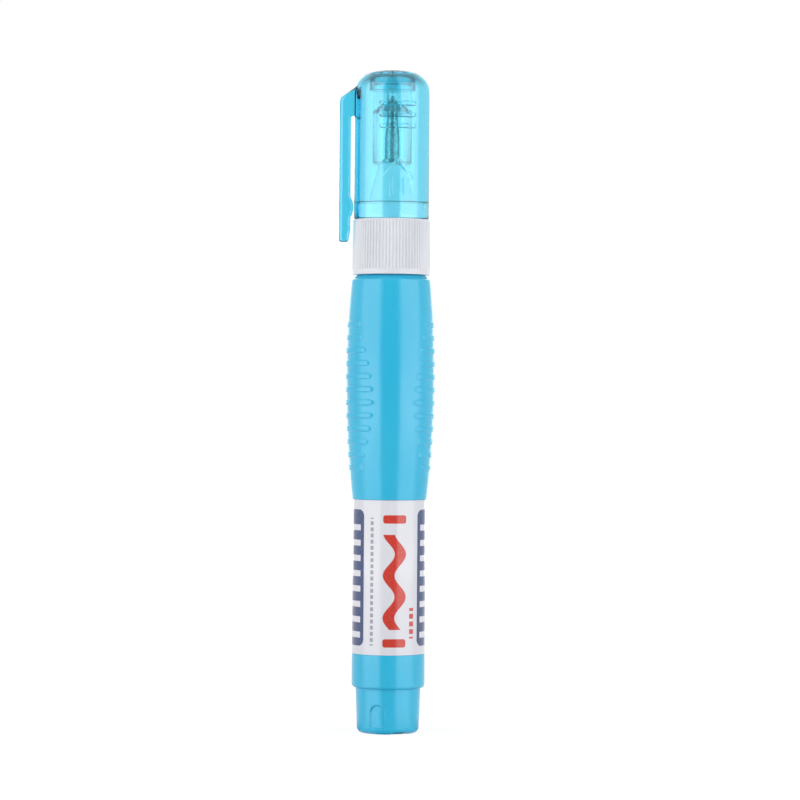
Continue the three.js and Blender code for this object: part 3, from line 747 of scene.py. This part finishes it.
@dataclass
class Bottle:
    """Squeeze bottle: flat tail with a notch and a scoop, lip, label panel, ribbed belly and neck."""

    tail_radius: float = 6.255
    tail_edge: float = 1.2
    tail_top_radius: float = 6.6
    lip: float = 9.2
    barrel: float = 7.42
    panel: float = 7.27
    panel_foot: float = 16.1
    belly_foot: float = 47.5
    belly_foot_radius: float = 7.57
    belly_radius: float = 9.038
    belly_middle: float = 72.0
    shoulder_radius: float = 8.07
    shoulder_start: float = 92.05
    shoulder: float = 93.1
    shoulder_chamfer: float = 1.25
    neck: float = 5.8
    neck_bore: float = 4.8
    neck_top: float = 101.1
    bead: float = 97.3
    bead_half: float = 0.7
    bead_rise: float = 0.25
    wall: float = 0.8
    hollow_top: float = 92.2
    hollow_belly: tuple[float, float] = (90.5, 48.6)
    hollow_barrel: tuple[float, float] = (46.8, 10.2)
    hollow_tail: float = 9.4
    hollow_foot: tuple[float, float] = (5.4, 1.2)
    rib_count: int = 12
    rib_pitch: float = 2.64
    rib_first: float = 53.98
    rib_half: float = 0.68
    rib_crest: float = 0.36
    rib_rise: float = 0.16
    rib_sink: float = 0.05
    lens_radius: float = 45.0
    lens_reach: float = 8.125
    notch_angle: float = -115.0
    notch_zone: float = 19.0
    notch_half: float = 1.65
    notch_foot: float = 1.3
    notch_top: float = 6.0
    notch_floor: float = 5.8
    notch_bulge: float = 0.2
    scoop_angle: float = -68.0
    scoop_radius: float = 4.0
    scoop_rise: float = 0.55
    scoop_inner: float = 4.7
    row_step: float = 0.12
    column_step: float = 1.2
    notch_step: float = 0.6

    def belly(self, height: float) -> float:
        """Curves the belly from its widest place to both its ends.

        Args:
            height: Height on the belly.

        Returns:
            The radius there.
        """
        low = height < self.belly_middle
        end = self.belly_foot if low else self.shoulder_start
        at_end = self.belly_foot_radius if low else self.shoulder_radius
        part = (height - self.belly_middle) / (end - self.belly_middle)
        return self.belly_radius - (self.belly_radius - at_end) * part * part

    def outside(self) -> np.ndarray:
        """Outline from the middle of the base to the neck's rim.

        Returns:
            The points, dense where there is relief.
        """
        low = self.rib_first - 1.0
        high = self.rib_first + (self.rib_count - 1) * self.rib_pitch + 1.0
        corners: list[Corner] = [(0.0, 0.0)]
        corners += [(self.scoop_inner + step, 0.0) for step in (-0.3, -0.1, 0.05, 0.2)]
        corners += [(self.tail_radius, 0.0, self.tail_edge), (self.tail_top_radius, self.lip, 0.09),
                    (self.barrel, self.lip, 0.7), (self.barrel, self.panel_foot, 0.03),
                    (self.panel, self.panel_foot + 0.05, 0.02), (self.panel, self.belly_foot, 0.05),
                    (self.belly_foot_radius, self.belly_foot, 0.12)]
        heights = np.concatenate([np.linspace(self.belly_foot + 0.8, low, 6),
                                  np.arange(low + self.row_step, high, self.row_step),
                                  np.linspace(high, self.shoulder_start, 8)[:-1]])
        corners += [(self.belly(h), h) for h in heights]
        corners += [(self.shoulder_radius, self.shoulder_start, 0.25),
                    (self.shoulder_radius - self.shoulder_chamfer, self.shoulder, 0.2),
                    (self.neck, self.shoulder, 0.2), (self.neck, self.bead - self.bead_half),
                    (self.neck + self.bead_rise, self.bead, 0.4),
                    (self.neck, self.bead + self.bead_half), (self.neck, self.neck_top, 0.15)]
        return refined(rounded(corners), self.notch_foot - 0.4, self.notch_top + 0.4, 0.13,
                       self.notch_floor)

    def inside(self) -> np.ndarray:
        """Outline from the neck's rim down to the middle of the base.

        Returns:
            The points.
        """
        belly = [(self.belly(h) - self.wall, h) for h in np.linspace(*self.hollow_belly, 14)]
        corners: list[Corner] = [(self.neck_bore, self.neck_top, 0.15),
                                 (self.neck_bore, self.hollow_top, 0.3),
                                 (belly[0][0], self.hollow_top, 1.0)] + belly
        corners += [(self.panel - self.wall, self.hollow_barrel[0]),
                    (self.panel - self.wall, self.hollow_barrel[1], 0.4),
                    (self.tail_top_radius - self.wall, self.hollow_tail, 0.3),
                    self.hollow_foot + (0.8,), (0.0, self.hollow_foot[1])]
        return rounded(corners)

    def lens(self, off: np.ndarray) -> np.ndarray:
        """Reach of the grip's lens-shaped field, for heights off its middle."""
        chord = np.sqrt(np.maximum(self.lens_radius ** 2 - np.square(off), 0.0))
        return self.lens_reach - self.lens_radius + chord

    def ribs(self, turning: Turning, rows: int) -> None:
        """Raises the grip's ribs, which end on a lens-shaped line.

        Args:
            turning: The bottle's surface.
            rows: How many rows are outside.
        """
        radius, height = turning.radius[:rows], turning.height[:rows]
        aside = np.abs(radius * np.sin(turning.angle[:rows]))
        half = (self.rib_count - 1) * self.rib_pitch / 2
        middle = self.rib_first + half
        # The wall sinks a little between the ribs, on the same lens-shaped field
        edge = self.lens(height - middle)
        end = half + self.rib_half
        sunk = eased(edge + 0.8, edge - 0.4, aside)
        sunk *= eased(end + 0.8, end - 0.2, np.abs(height - middle))
        rise = np.zeros_like(radius)
        for centre in self.rib_first + np.arange(self.rib_count) * self.rib_pitch:
            over = np.maximum(aside - (self.lens(centre - middle) - self.rib_half), 0.0)
            off = np.hypot(over, height - centre)
            rise = np.maximum(rise, eased(self.rib_half, self.rib_crest, off))
        turning.radius[:rows] += self.rib_rise * rise - self.rib_sink * sunk * (1.0 - rise)

    def notch(self, turning: Turning, rows: int) -> None:
        """Sinks the arch-shaped notch into the tail, with soft walls and a floor that bulges.

        Args:
            turning: The bottle's surface.
            rows: How many rows are outside.
        """
        bend = turning.angle[:rows] - math.radians(self.notch_angle)
        across = turning.radius[:rows] * np.sin(bend)
        forward = turning.radius[:rows] * np.cos(bend)
        over = np.maximum(turning.height[:rows] - (self.notch_top - self.notch_half), 0.0)
        side = self.notch_half - np.hypot(across, over)
        inside = np.minimum(side, turning.height[:rows] - self.notch_foot)
        inside = np.where(forward > 0.0, inside, -1.0)
        bulge = 1.0 - np.clip(across / self.notch_half, -1.0, 1.0) ** 2
        sunk = np.minimum(forward, self.notch_floor + self.notch_bulge * bulge)
        part = eased(-0.04, 0.18, inside)
        turning.radius[:rows] += (sunk - forward) * part / np.maximum(np.cos(bend), 0.5)

    def scoop(self, turning: Turning, rows: int) -> None:
        """Cuts the shallow scoop into the rim of the base.

        Args:
            turning: The bottle's surface.
            rows: How many rows are outside.
        """
        bend = turning.angle[:rows] - math.radians(self.scoop_angle)
        across = turning.radius[:rows] * np.sin(bend)
        round_part = np.sqrt(np.maximum(self.scoop_radius ** 2 - across ** 2, 0.0))
        roof = np.where(np.cos(bend) > 0.0, round_part - self.scoop_radius + self.scoop_rise, 0.0)
        part = eased(self.scoop_inner - 0.25, self.scoop_inner + 0.1, turning.radius[:rows])
        turning.height[:rows] = np.maximum(turning.height[:rows], np.maximum(roof, 0.0) * part)

    def build(self) -> None:
        """Builds the bottle as one closed wall."""
        outside = self.outside()
        rows = len(outside)
        angles = spaced(self.column_step, self.notch_step, self.notch_angle, self.notch_zone)
        turning = Turning(np.vstack([outside, self.inside()]), angles)
        self.ribs(turning, rows)
        self.notch(turning, rows)
        self.scoop(turning, rows)
        made = solid("squeeze_bottle", *turning.skin())
        fitted(made, BLOWN_BLUE, Body.PEN, "bottle")


@dataclass
class Label:
    """Printed film round the bottle's panel, with an open seam at the back."""

    inner: float = 7.3
    outer: float = 7.4
    foot: float = 16.15
    top: float = 47.45
    edge: float = 0.035
    seam: float = 0.8
    columns: int = 220

    def build(self) -> None:
        """Builds the film with its rounded edges."""
        path = rounded([(self.inner, self.foot), (self.outer, self.foot, self.edge),
                        (self.outer, self.top, self.edge), (self.inner, self.top)],
                       closed=True, steps=3)
        half = math.degrees(self.seam / 2 / self.outer)
        angles = np.radians(np.linspace(90.0 + half, 450.0 - half, self.columns))
        turning = Turning(path, angles, closed=True, full_turn=False)
        made = solid("printed_label", *turning.skin())
        film = PrintedFilm("glossy printed film", self.outer)
        fitted(made, film, Body.PEN, "label")


@dataclass
class Collar:
    """White screw collar with fine ribs, and the spigot that carries the cap."""

    foot: float = 93.15
    top: float = 104.4
    foot_radius: float = 7.92
    top_radius: float = 7.75
    bore: float = 5.92
    spigot_radius: float = 6.74
    spigot_top: float = 107.5
    mouth: float = 5.12
    lip: float = 102.95
    groove: float = 97.3
    groove_half: float = 0.9
    groove_depth: float = 0.3
    ribs: int = 72
    valley: float = 0.24
    foot_band: float = 1.0
    head_band: float = 0.2
    rib_end: float = 0.2
    columns_per_rib: int = 8

    def build(self) -> None:
        """Builds the collar with its ribs."""
        path = rounded([
            (self.bore + 0.1, self.foot), (self.foot_radius, self.foot, 0.12),
            (self.top_radius, self.top, 0.16), (self.spigot_radius, self.top, 0.08),
            (self.spigot_radius, self.spigot_top, 0.3), (self.mouth, self.spigot_top, 0.2),
            (self.mouth, self.lip, 0.05), (self.bore, self.lip),
            (self.bore, self.groove + self.groove_half),
            (self.bore + self.groove_depth, self.groove, 0.3),
            (self.bore, self.groove - self.groove_half), (self.bore, self.foot + 0.1)],
            closed=True)
        skin = self.top_radius - 0.1
        path = refined(path, self.foot + 0.5, self.top - 0.1, 0.15, skin)
        count = self.ribs * self.columns_per_rib
        turning = Turning(path, np.arange(count) * 2 * math.pi / count, closed=True)
        low = self.foot + self.foot_band
        high = self.top - self.head_band
        part = eased(low, low + self.rib_end, turning.height)
        part *= eased(high, high - self.rib_end, turning.height)
        part *= turning.radius > skin
        wave = 1.0 - np.abs(np.cos(turning.angle * self.ribs / 2))
        turning.radius -= self.valley * wave * part
        made = solid("ribbed_collar", *turning.skin())
        fitted(made, MOULDED_WHITE, Body.PEN, "collar")


@dataclass
class Cap:
    """Clear cap with a domed crown, an inner socket, raised marks and the pocket clip in one."""

    mouth: float = 104.5
    radius: float = 7.75
    bore: float = 6.55
    skirt: float = 6.8
    ledge: float = 107.8
    wall: float = 1.2
    crown: float = 134.95
    corner: tuple[float, float] = (3.35, 130.257)
    corner_radius: float = 4.4
    crown_radius: float = 23.69
    crown_tilt: float = 10.0
    socket_bore: float = 4.03
    socket_radius: float = 4.73
    socket_foot: float = 130.55
    mark_angle: float = -86.0
    mark_zone: float = 31.0
    column_step: float = 1.5
    mark_step: float = 1.0
    bar_rise: float = 0.2
    arrow_rise: float = 0.09
    mark_edge: float = 0.09
    bar_heights: tuple[float, ...] = (127.6, 125.3, 123.05)
    bar_half: float = 3.4
    bar_width: float = 0.42
    line_width: float = 0.28
    arrow: tuple[Corner, ...] = ((0.0, 116.1), (3.1, 112.4), (1.35, 112.4), (1.35, 108.9),
                                 (-1.35, 108.9), (-1.35, 112.4), (-3.1, 112.4))
    clip_outer: float = 10.86
    clip_inner: float = 8.55
    clip_root: float = 7.15
    clip_top: float = 131.55
    clip_foot: float = 125.25
    clip_tip: float = 99.65
    clip_toe: float = 101.95
    clip_knee: float = 129.0
    clip_brow: tuple[float, float] = (8.2, 130.82)
    bead_middle: float = 106.8
    bead_half: float = 2.1
    bead_rise: float = 0.6
    bead_steps: int = 14
    clip_half: float = 2.0
    # How far the clip's corners are rounded, along and across, next to the cap and on its face
    clip_edge: tuple[float, float] = (0.6, 0.5)
    clip_face: tuple[float, float] = (0.8, 0.9)
    clip_tip_edge: float = 0.5
    clip_draft: float = 0.12
    # The root flares a little into the wall: how much, from where and over what width
    clip_flare: float = 0.12
    flare_start: float = 7.2
    flare_width: float = 1.1
    # Where the clip's side has points, close together near the cap's wall
    clip_steps: tuple[float, ...] = (0.06, 0.12, 0.18, 0.25, 0.33, 0.42, 0.52, 0.65, 0.82)
    arm_rows: tuple[float, float, float] = (109.5, 125.0, 0.75)

    def outline(self) -> np.ndarray:
        """Outline of the cap's wall.

        Returns:
            The points from the ceiling's middle round the mouth to the crown.
        """
        inner_corner = self.corner_radius - self.wall
        top = 90.0 - self.crown_tilt
        crown_centre = (0.0, self.crown - self.crown_radius)
        ends = [math.degrees(math.acos((radius - self.corner[0]) / inner_corner))
                for radius in (self.socket_bore, self.socket_radius)]
        roots = [arc(self.corner, inner_corner, end, end, 1)[0] for end in ends]
        inner: list[Corner] = [(0.0, self.crown - self.wall)]
        inner += arc(crown_centre, self.crown_radius - self.wall, 90.0, top, 6)[1:]
        inner += [roots[0] + (0.1,), (self.socket_bore, self.socket_foot, 0.1),
                  (self.socket_radius, self.socket_foot, 0.15), roots[1] + (0.15,)]
        inner += arc(self.corner, inner_corner, ends[1] - 5.0, 0.0)
        inner += [(self.bore, self.ledge, 0.13), (self.skirt, self.ledge, 0.1),
                  (self.skirt, self.mouth, 0.12), (self.radius, self.mouth, 0.15),
                  (self.radius, self.mouth + 1.0)]
        # Rows at the edges of the marks' level lines keep these lines crisp
        low, high = min(p[1] for p in self.arrow) - 0.6, self.bar_heights[0] + 0.8
        lines = [(h, self.bar_width) for h in self.bar_heights]
        lines += [(self.arrow[k][1], self.line_width) for k in (1, 3)]
        heights = [low, high] + [h + side * (half + edge) for h, half in lines
                                 for side in (-1.0, 1.0)
                                 for edge in (-self.mark_edge, self.mark_edge)]
        outside: list[Corner] = [(self.radius, h) for h in sorted(heights)]
        outside.append((self.radius, self.corner[1] - 0.5))
        outside += arc(self.corner, self.corner_radius, 0.0, top, 16)
        outside += arc(crown_centre, self.crown_radius, top, 90.0, 6)[1:-1]
        outside.append((0.0, self.crown))
        path = np.vstack([rounded(inner), np.array(outside)])
        return refined(path, low, high, 0.15, self.radius - 0.01)

    def marks(self, turning: Turning) -> None:
        """Raises the bars and the outlined arrow on the outside, towards the front.

        Args:
            turning: The cap's surface.
        """
        across = self.radius * (turning.angle - math.radians(self.mark_angle))
        height = turning.height
        outside = turning.radius > self.radius - 0.02
        rise = np.zeros_like(height)
        strokes = [((-self.bar_half, h), (self.bar_half, h), self.bar_width, self.bar_rise)
                   for h in self.bar_heights]
        strokes += [(start, end, self.line_width, self.arrow_rise)
                    for start, end in zip(self.arrow, self.arrow[1:] + self.arrow[:1])]
        for start, end, width, top in strokes:
            run = np.array(end) - np.array(start)
            along = (across - start[0]) * run[0] + (height - start[1]) * run[1]
            along = np.clip(along / float(run @ run), 0.0, 1.0)
            off = np.hypot(across - start[0] - along * run[0], height - start[1] - along * run[1])
            part = eased(width + self.mark_edge, width - self.mark_edge, off)
            rise = np.maximum(rise, top * part)
        turning.radius += rise * outside

    def clip_sides(self) -> tuple[np.ndarray, np.ndarray]:
        """Side view of the clip, from its tip up to its root.

        Returns:
            The line that faces the cap and the line that faces away, as distance and height.
        """
        tip = ((self.clip_inner + self.clip_outer) / 2, self.clip_tip)
        inner: list[Corner] = [tip, (self.clip_inner + 0.45, self.clip_tip, 0.6),
                               (self.clip_inner, self.clip_toe, 2.0)]
        # The bead that grips the pocket bulges towards the cap
        inner += [(self.clip_inner - self.bead_rise * (1.0 - part * part),
                   self.bead_middle + self.bead_half * part)
                  for part in np.linspace(-1.0, 1.0, self.bead_steps + 1)]
        inner += [(self.clip_inner, self.clip_foot, 0.4), (self.clip_root, self.clip_foot + 0.02),
                  (self.clip_root, self.clip_top)]
        outer: list[Corner] = [tip, (self.clip_outer, self.clip_tip, 0.7),
                               (self.clip_outer, self.clip_knee, 1.7), self.clip_brow,
                               (self.clip_root + 0.12, self.clip_top)]
        return rounded(inner, steps=8)[1:], rounded(outer, steps=8)[1:]

    def clip_ring(self, inner: float, outer: float, height: float) -> np.ndarray:
        """Level section of the clip: a bar with small inner corners and a softly rounded face.

        Args:
            inner: Distance of its inner face from the axis.
            outer: Distance of its outer face.
            height: Height of the section.

        Returns:
            The points, in the order in which they go round.
        """
        face, shoulder = self.clip_face
        edge, side = self.clip_edge
        shrink = min(1.0, (outer - inner) / (edge + face + 0.1))
        turns = np.radians(np.linspace(0.0, 90.0, 7))
        steps = np.array(self.clip_steps)
        start = inner + edge * shrink
        stop = outer - face * shrink
        # Distance from the axis, and how far the surface lies inside the flat side
        along = np.concatenate([start - edge * shrink * np.cos(turns),
                                start + (stop - start) * steps,
                                stop + face * shrink * np.sin(turns)])
        inset = np.concatenate([side * shrink * (1.0 - np.sin(turns)), np.zeros(len(steps)),
                                shoulder * shrink * (1.0 - np.cos(turns))])
        flare = eased(1.0, 0.0, (along - self.flare_start) / self.flare_width)
        reach = np.clip((along - self.clip_inner) / (self.clip_outer - self.clip_inner), 0.0, 1.0)
        end = np.clip(1.0 - (height - self.clip_tip) / self.clip_tip_edge, 0.0, 1.0)
        half = self.clip_half + self.clip_flare * flare - self.clip_draft * reach - inset
        half = half - self.clip_tip_edge * (1.0 - np.sqrt(1.0 - end * end))
        x = -np.concatenate([along, along[::-1]])
        y = np.concatenate([-half, half[::-1]])
        return np.column_stack([x, y, np.full(len(x), height)])

    def clip(self) -> bpy.types.Object:
        """Builds the clip of level sections, from its tip to the root inside the cap's wall.

        Returns:
            The clip, not yet one with the cap.
        """
        inner, outer = self.clip_sides()
        levels = np.concatenate([inner[:, 1], outer[:, 1], np.arange(*self.arm_rows)])
        levels = np.unique(np.round(levels, 3))
        levels = levels[np.concatenate([[True], np.diff(levels) > 0.01])]
        rings = [self.clip_ring(float(np.interp(z, inner[:, 1], inner[:, 0])),
                                float(np.interp(z, outer[:, 1], outer[:, 0])), z) for z in levels]
        return solid("clip_blank", *lofted(np.array(rings)))

    def build(self) -> None:
        """Builds the cap and fuses the clip into it."""
        angles = spaced(self.column_step, self.mark_step, self.mark_angle, self.mark_zone)
        turning = Turning(self.outline(), angles)
        self.marks(turning)
        made = solid("clear_cap", *turning.skin())
        joined(made, self.clip())
        fitted(made, CLEAR_BLUE, Body.CAP, "cap_shell")


@dataclass
class Turned:
    """A small turned or moulded piece that is round about the pen's axis."""

    name: str
    node: str
    slot: str
    body: Body
    finish: Finish
    corners: tuple[Corner, ...]
    closed: bool = True
    columns: int = 128

    def build(self) -> None:
        """Builds the piece."""
        path = rounded(self.corners, self.closed)
        angles = np.arange(self.columns) * 2 * math.pi / self.columns
        made = solid(self.name, *Turning(path, angles, closed=self.closed).skin())
        fitted(made, self.finish, self.body, self.node)


def inner_pieces() -> list[Turned]:
    """Lists the round pieces that show through the cap or sit inside the bottle.

    Returns:
        The liner, the nozzle, the metal tip, the needle and the mixing ball.
    """
    liner = Turned("liner_cap", "inner_seal_cap", "milky_polyethylene", Body.CAP, LINER_CLEAR, (
        (0.0, 130.65), (0.9, 130.65, 0.2), (0.9, 128.45), (3.3, 126.05, 0.3), (3.3, 115.95, 0.15),
        (4.0, 115.95, 0.15), (4.0, 132.7, 0.6), (0.0, 132.7)), closed=False)
    nozzle = Turned("nozzle", "nozzle_holder", "white_polypropylene", Body.PEN, NOZZLE_WHITE, (
        (3.67, 98.5), (4.77, 98.5, 0.25), (4.77, 101.7), (5.8, 101.7, 0.1), (5.8, 102.9, 0.1),
        (5.0, 102.9), (5.0, 107.5, 0.5), (2.75, 115.7, 0.1), (2.45, 116.1, 0.08), (1.65, 116.1),
        (1.65, 111.9), (2.0, 111.9), (2.0, 103.825), (2.6, 103.825), (2.6, 101.7),
        (3.67, 100.63)))
    tip = Turned("metal_tip", "valve_tip", "nickel_plated_brass", Body.PEN, NICKEL, (
        (0.95, 112.03), (1.62, 112.03, 0.1), (1.62, 116.15), (2.15, 116.15, 0.08),
        (2.15, 116.85, 0.12), (1.5, 116.85, 0.15), (1.5, 121.45, 1.5), (0.78, 128.75),
        (0.58, 128.95), (0.48, 128.95), (0.48, 125.15), (0.95, 124.35)))
    needle = Turned("needle", "valve_needle", "stainless_steel", Body.NEEDLE, STEEL, (
        (0.0, 103.5), (0.6, 103.5, 0.1), (0.6, 109.1), (1.7, 109.1, 0.1), (1.7, 109.9, 0.1),
        (0.75, 109.9), (0.75, 124.64), (0.42, 125.2), (0.42, 129.13),
        *arc((0.0, 129.13), 0.42, 15.0, 75.0, 5), (0.0, 129.55)), closed=False)
    ball = Turned("mixing_ball_steel", "mixing_ball", "stainless_steel", Body.BALL, STEEL, (
        (0.0, 1.25), *arc((0.0, 3.65), 2.4, -86.0, 86.0, 44), (0.0, 6.05)), closed=False,
        columns=96)
    return [liner, nozzle, tip, needle, ball]


@dataclass
class Spring:
    """Wound wire spring that pushes the needle, with a closed turn at each end."""

    foot: float = 103.85
    length: float = 5.2
    radius: float = 1.2
    wire: float = 0.17
    turns: int = 6
    end_rise: float = 0.36
    travel: float = 0.6
    steps_per_turn: int = 36
    sides: int = 12

    def build(self) -> None:
        """Winds the wire."""
        turn = np.linspace(0.0, self.turns, self.turns * self.steps_per_turn + 1)
        rise = self.length - 2 * self.wire
        height = self.foot + self.wire + np.interp(
            turn, [0.0, 1.0, self.turns - 1.0, self.turns],
            [0.0, self.end_rise, rise - self.end_rise, rise])
        bend = 2 * math.pi * turn
        outward = np.stack([np.cos(bend), np.sin(bend), np.zeros_like(bend)], axis=1)
        centre = self.radius * outward
        centre[:, 2] = height
        run = np.gradient(centre, axis=0)
        run /= np.linalg.norm(run, axis=1)[:, None]
        aside = np.cross(outward, run)[:, None]
        around = np.arange(self.sides)[None, :, None] * 2 * math.pi / self.sides
        rings = (centre[:, None] + self.wire * np.cos(around) * outward[:, None]
                 + self.wire * np.sin(around) * aside)
        made = solid("return_spring", *lofted(rings))
        fitted(made, STEEL, Body.PEN, "valve_spring")
        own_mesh(made)


def dress_frame() -> None:
    """Gives the CAD nodes that stay in view their finish."""
    kept = (("neck_gasket", "milky_polyethylene", WASHER_FOAM),
            ("spring_seat", "white_acetal", ACETAL))
    for node, slot, finish in kept:
        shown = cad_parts[node]
        shown.data.materials.clear()
        shown.data.materials.append(finish.material())
        LOG.info("%s: CAD mesh", node)


# Studio


@dataclass
class Studio:
    """Pale floor, white surroundings, three tall soft lights and the camera."""

    distance: float = 0.70
    eye_height: float = 0.0677
    azimuth: float = -5.0
    roll: float = 0.45
    aside: float = 0.002
    lens: float = 154.6
    sensor: float = 36.0
    lamp_distance: float = 0.6
    left_angle: float = -58.0
    right_angle: float = 56.0
    lamp_width: float = 0.68
    lamp_height: float = 0.7
    lamp_power: float = 2.9
    back_power: float = 1.6
    surround: float = 0.34
    gap_half: float = 25.0
    gap_level: float = 0.2
    side_end: float = 80.0
    paper: str = "#f3f3f3"
    shaded_paper: str = "#7c7c7c"
    glow: str = "#ffffff"
    # Level of the painted lamp light that the floor shows in reflections
    painted_floor_light: float = 2.8
    floor_size: float = 40.0
    ceiling_angles: tuple[float, float] = (15.0, 45.0)
    ceiling: float = 0.3
    rays: tuple[str, ...] = ("Is Camera Ray", "Is Glossy Ray", "Is Transmission Ray")

    def around(self, angle: float, distance: float, height: float) -> Vector:
        """A point round the pen, at an angle to the camera's direction."""
        turn = math.radians(self.azimuth + angle)
        return Vector((math.sin(turn) * distance, -math.cos(turn) * distance, height))

    def gap(self, graph: Graph, way: Source, side: float) -> bpy.types.NodeSocket:
        """Level of the room in reflections, dim between the two lights.

        Args:
            graph: The nodes of the floor or of the world.
            way: Direction from the pen.
            side: Level below the lights; on the floor this is painted lamp light, seen in
                reflections.

        Returns:
            One behind the pen, the side's level below the lights, and less in the gap, which
            leaves a deeper strip on round walls.
        """
        flat = graph.add("VectorMath", way, (1.0, 1.0, 0.0), operation="MULTIPLY")
        flat = graph.add("VectorMath", flat, operation="NORMALIZE")
        front = graph.add("VectorMath", flat, self.around(0.0, 1.0, 0.0), operation="DOT_PRODUCT",
                          out="Value")
        levels = []
        for middle, soft, outer, inner in ((self.gap_half, 4.0, side, self.gap_level),
                                           (self.side_end, 8.0, 1.0, side)):
            edges = [math.cos(math.radians(middle + step)) for step in (soft, -soft)]
            levels.append(graph.add("MapRange", front, *edges, outer, inner))
        return graph.add("Math", *levels, operation="MINIMUM")

    def floor(self) -> None:
        """Lays the pale floor, which takes a faint shadow, and shows painted light and a painted
        shadow in reflections.
        """
        half = self.floor_size / 2
        mesh = bpy.data.meshes.new("floor")
        mesh.from_pydata([(-half, -half, 0), (half, -half, 0), (half, half, 0), (-half, half, 0)],
                         [], [(0, 1, 2, 3)])
        made = bpy.data.objects.new("floor", mesh)
        bpy.context.scene.collection.objects.link(made)
        material, graph = new_graph("pale paper floor")
        camera, glossy, through = (graph.add("LightPath", out=name) for name in self.rays)
        dull = graph.add("BsdfDiffuse", linear(self.paper))
        # Where the camera looks, the paper is close to white and keeps a soft contact shadow
        spot = graph.add("TexCoord", out="Object")
        away = graph.add("VectorMath", spot, operation="LENGTH", out="Value")
        pale = graph.add("BsdfDiffuse", linear(self.shaded_paper))
        white = graph.add("MapRange", away, 0.1, 0.8, 0.86, 0.93)
        glow = graph.add("Emission", linear(self.glow), white)
        both = graph.add("AddShader", pale, glow)
        plain = graph.add("Math", camera, through, operation="MAXIMUM")
        surface = graph.add("MixShader", plain, dull, both)
        # In reflections the floor glows with painted light: a painted pool of lamp light below each
        # lamp, painted shade in the gap in front, and a painted shadow close to the pen
        near = graph.add("MapRange", away, 0.008, 0.03, 0.25, 1.0)
        dim = graph.add("Math", self.gap(graph, spot, self.painted_floor_light), near, operation="MULTIPLY")
        painted_floor_reflection = graph.add("Emission", linear(self.glow), dim)
        surface = graph.add("MixShader", glossy, surface, painted_floor_reflection)
        graph.add("OutputMaterial", surface)
        mesh.materials.append(material)

    def world(self) -> None:
        """Sets white surroundings for what is seen, a dim ceiling and a plain light level."""
        scene = bpy.context.scene
        scene.world = bpy.data.worlds.new("studio")
        scene.world.use_nodes = True
        graph = Graph(scene.world.node_tree)
        way = graph.add("TexCoord", out="Generated")
        # The ceiling is dim, which draws the level edges of the clear cap
        up = graph.add("SeparateXYZ", way, out="Z")
        edges = [math.sin(math.radians(angle)) for angle in self.ceiling_angles]
        seen = graph.add("MapRange", up, *edges, 1.0, self.ceiling)
        level: Source = self.surround
        for name, value in zip(self.rays, (1.0, self.gap(graph, way, 1.0), seen)):
            ray = graph.add("LightPath", out=name)
            level = graph.add("Mix", ray, out=0, named={2: level, 3: value})
        glow = graph.add("Background", linear(self.glow), level)
        graph.add("OutputWorld", glow)

    def lamps(self) -> None:
        """Sets a tall soft light at each side of the camera and a weak one behind the pen."""
        for name, angle, power in (("left", self.left_angle, self.lamp_power),
                                   ("right", self.right_angle, self.lamp_power),
                                   ("back", 180.0, self.back_power)):
            lamp = bpy.data.lights.new("softbox_" + name, "AREA")
            lamp.shape = "RECTANGLE"
            lamp.size = self.lamp_width
            lamp.size_y = self.lamp_height
            lamp.energy = power
            made = bpy.data.objects.new("softbox_" + name, lamp)
            made.location = self.around(angle, self.lamp_distance, self.lamp_height / 2)
            aim = Vector((0.0, 0.0, made.location.z)) - made.location
            made.rotation_euler = aim.to_track_quat("-Z", "Y").to_euler()
            made.visible_camera = False
            made.visible_transmission = name != "back"
            bpy.context.scene.collection.objects.link(made)

    def camera(self) -> None:
        """Sets the camera level with the pen's middle, a little to its left."""
        data = bpy.data.cameras.new("camera")
        data.lens = self.lens
        data.sensor_width = self.sensor
        data.clip_end = 100.0
        made = bpy.data.objects.new("camera", data)
        spot = self.around(0.0, self.distance, self.eye_height)
        turn = math.radians(self.azimuth)
        right = Vector((math.cos(turn), math.sin(turn), 0.0))
        look = Vector((-math.sin(turn), math.cos(turn), 0.0))
        basis = Matrix((right, Vector((0.0, 0.0, 1.0)), -look)).transposed()
        rolled = basis @ Matrix.Rotation(math.radians(self.roll), 3, "Z")
        made.matrix_world = Matrix.Translation(spot + right * self.aside) @ rolled.to_4x4()
        bpy.context.scene.collection.objects.link(made)
        bpy.context.scene.camera = made

    def build(self) -> None:
        """Builds the studio."""
        self.floor()
        self.world()
        self.lamps()
        self.camera()
        bpy.context.scene.view_settings.view_transform = "Standard"


def main() -> None:
    """Builds the pen and its studio."""
    logging.basicConfig(level=logging.INFO, format="%(message)s")
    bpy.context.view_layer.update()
    Bottle().build()
    Label().build()
    Collar().build()
    Cap().build()
    for piece in inner_pieces():
        piece.build()
    Spring().build()
    dress_frame()
    Studio().build()


if __name__ == "__main__":
    main()
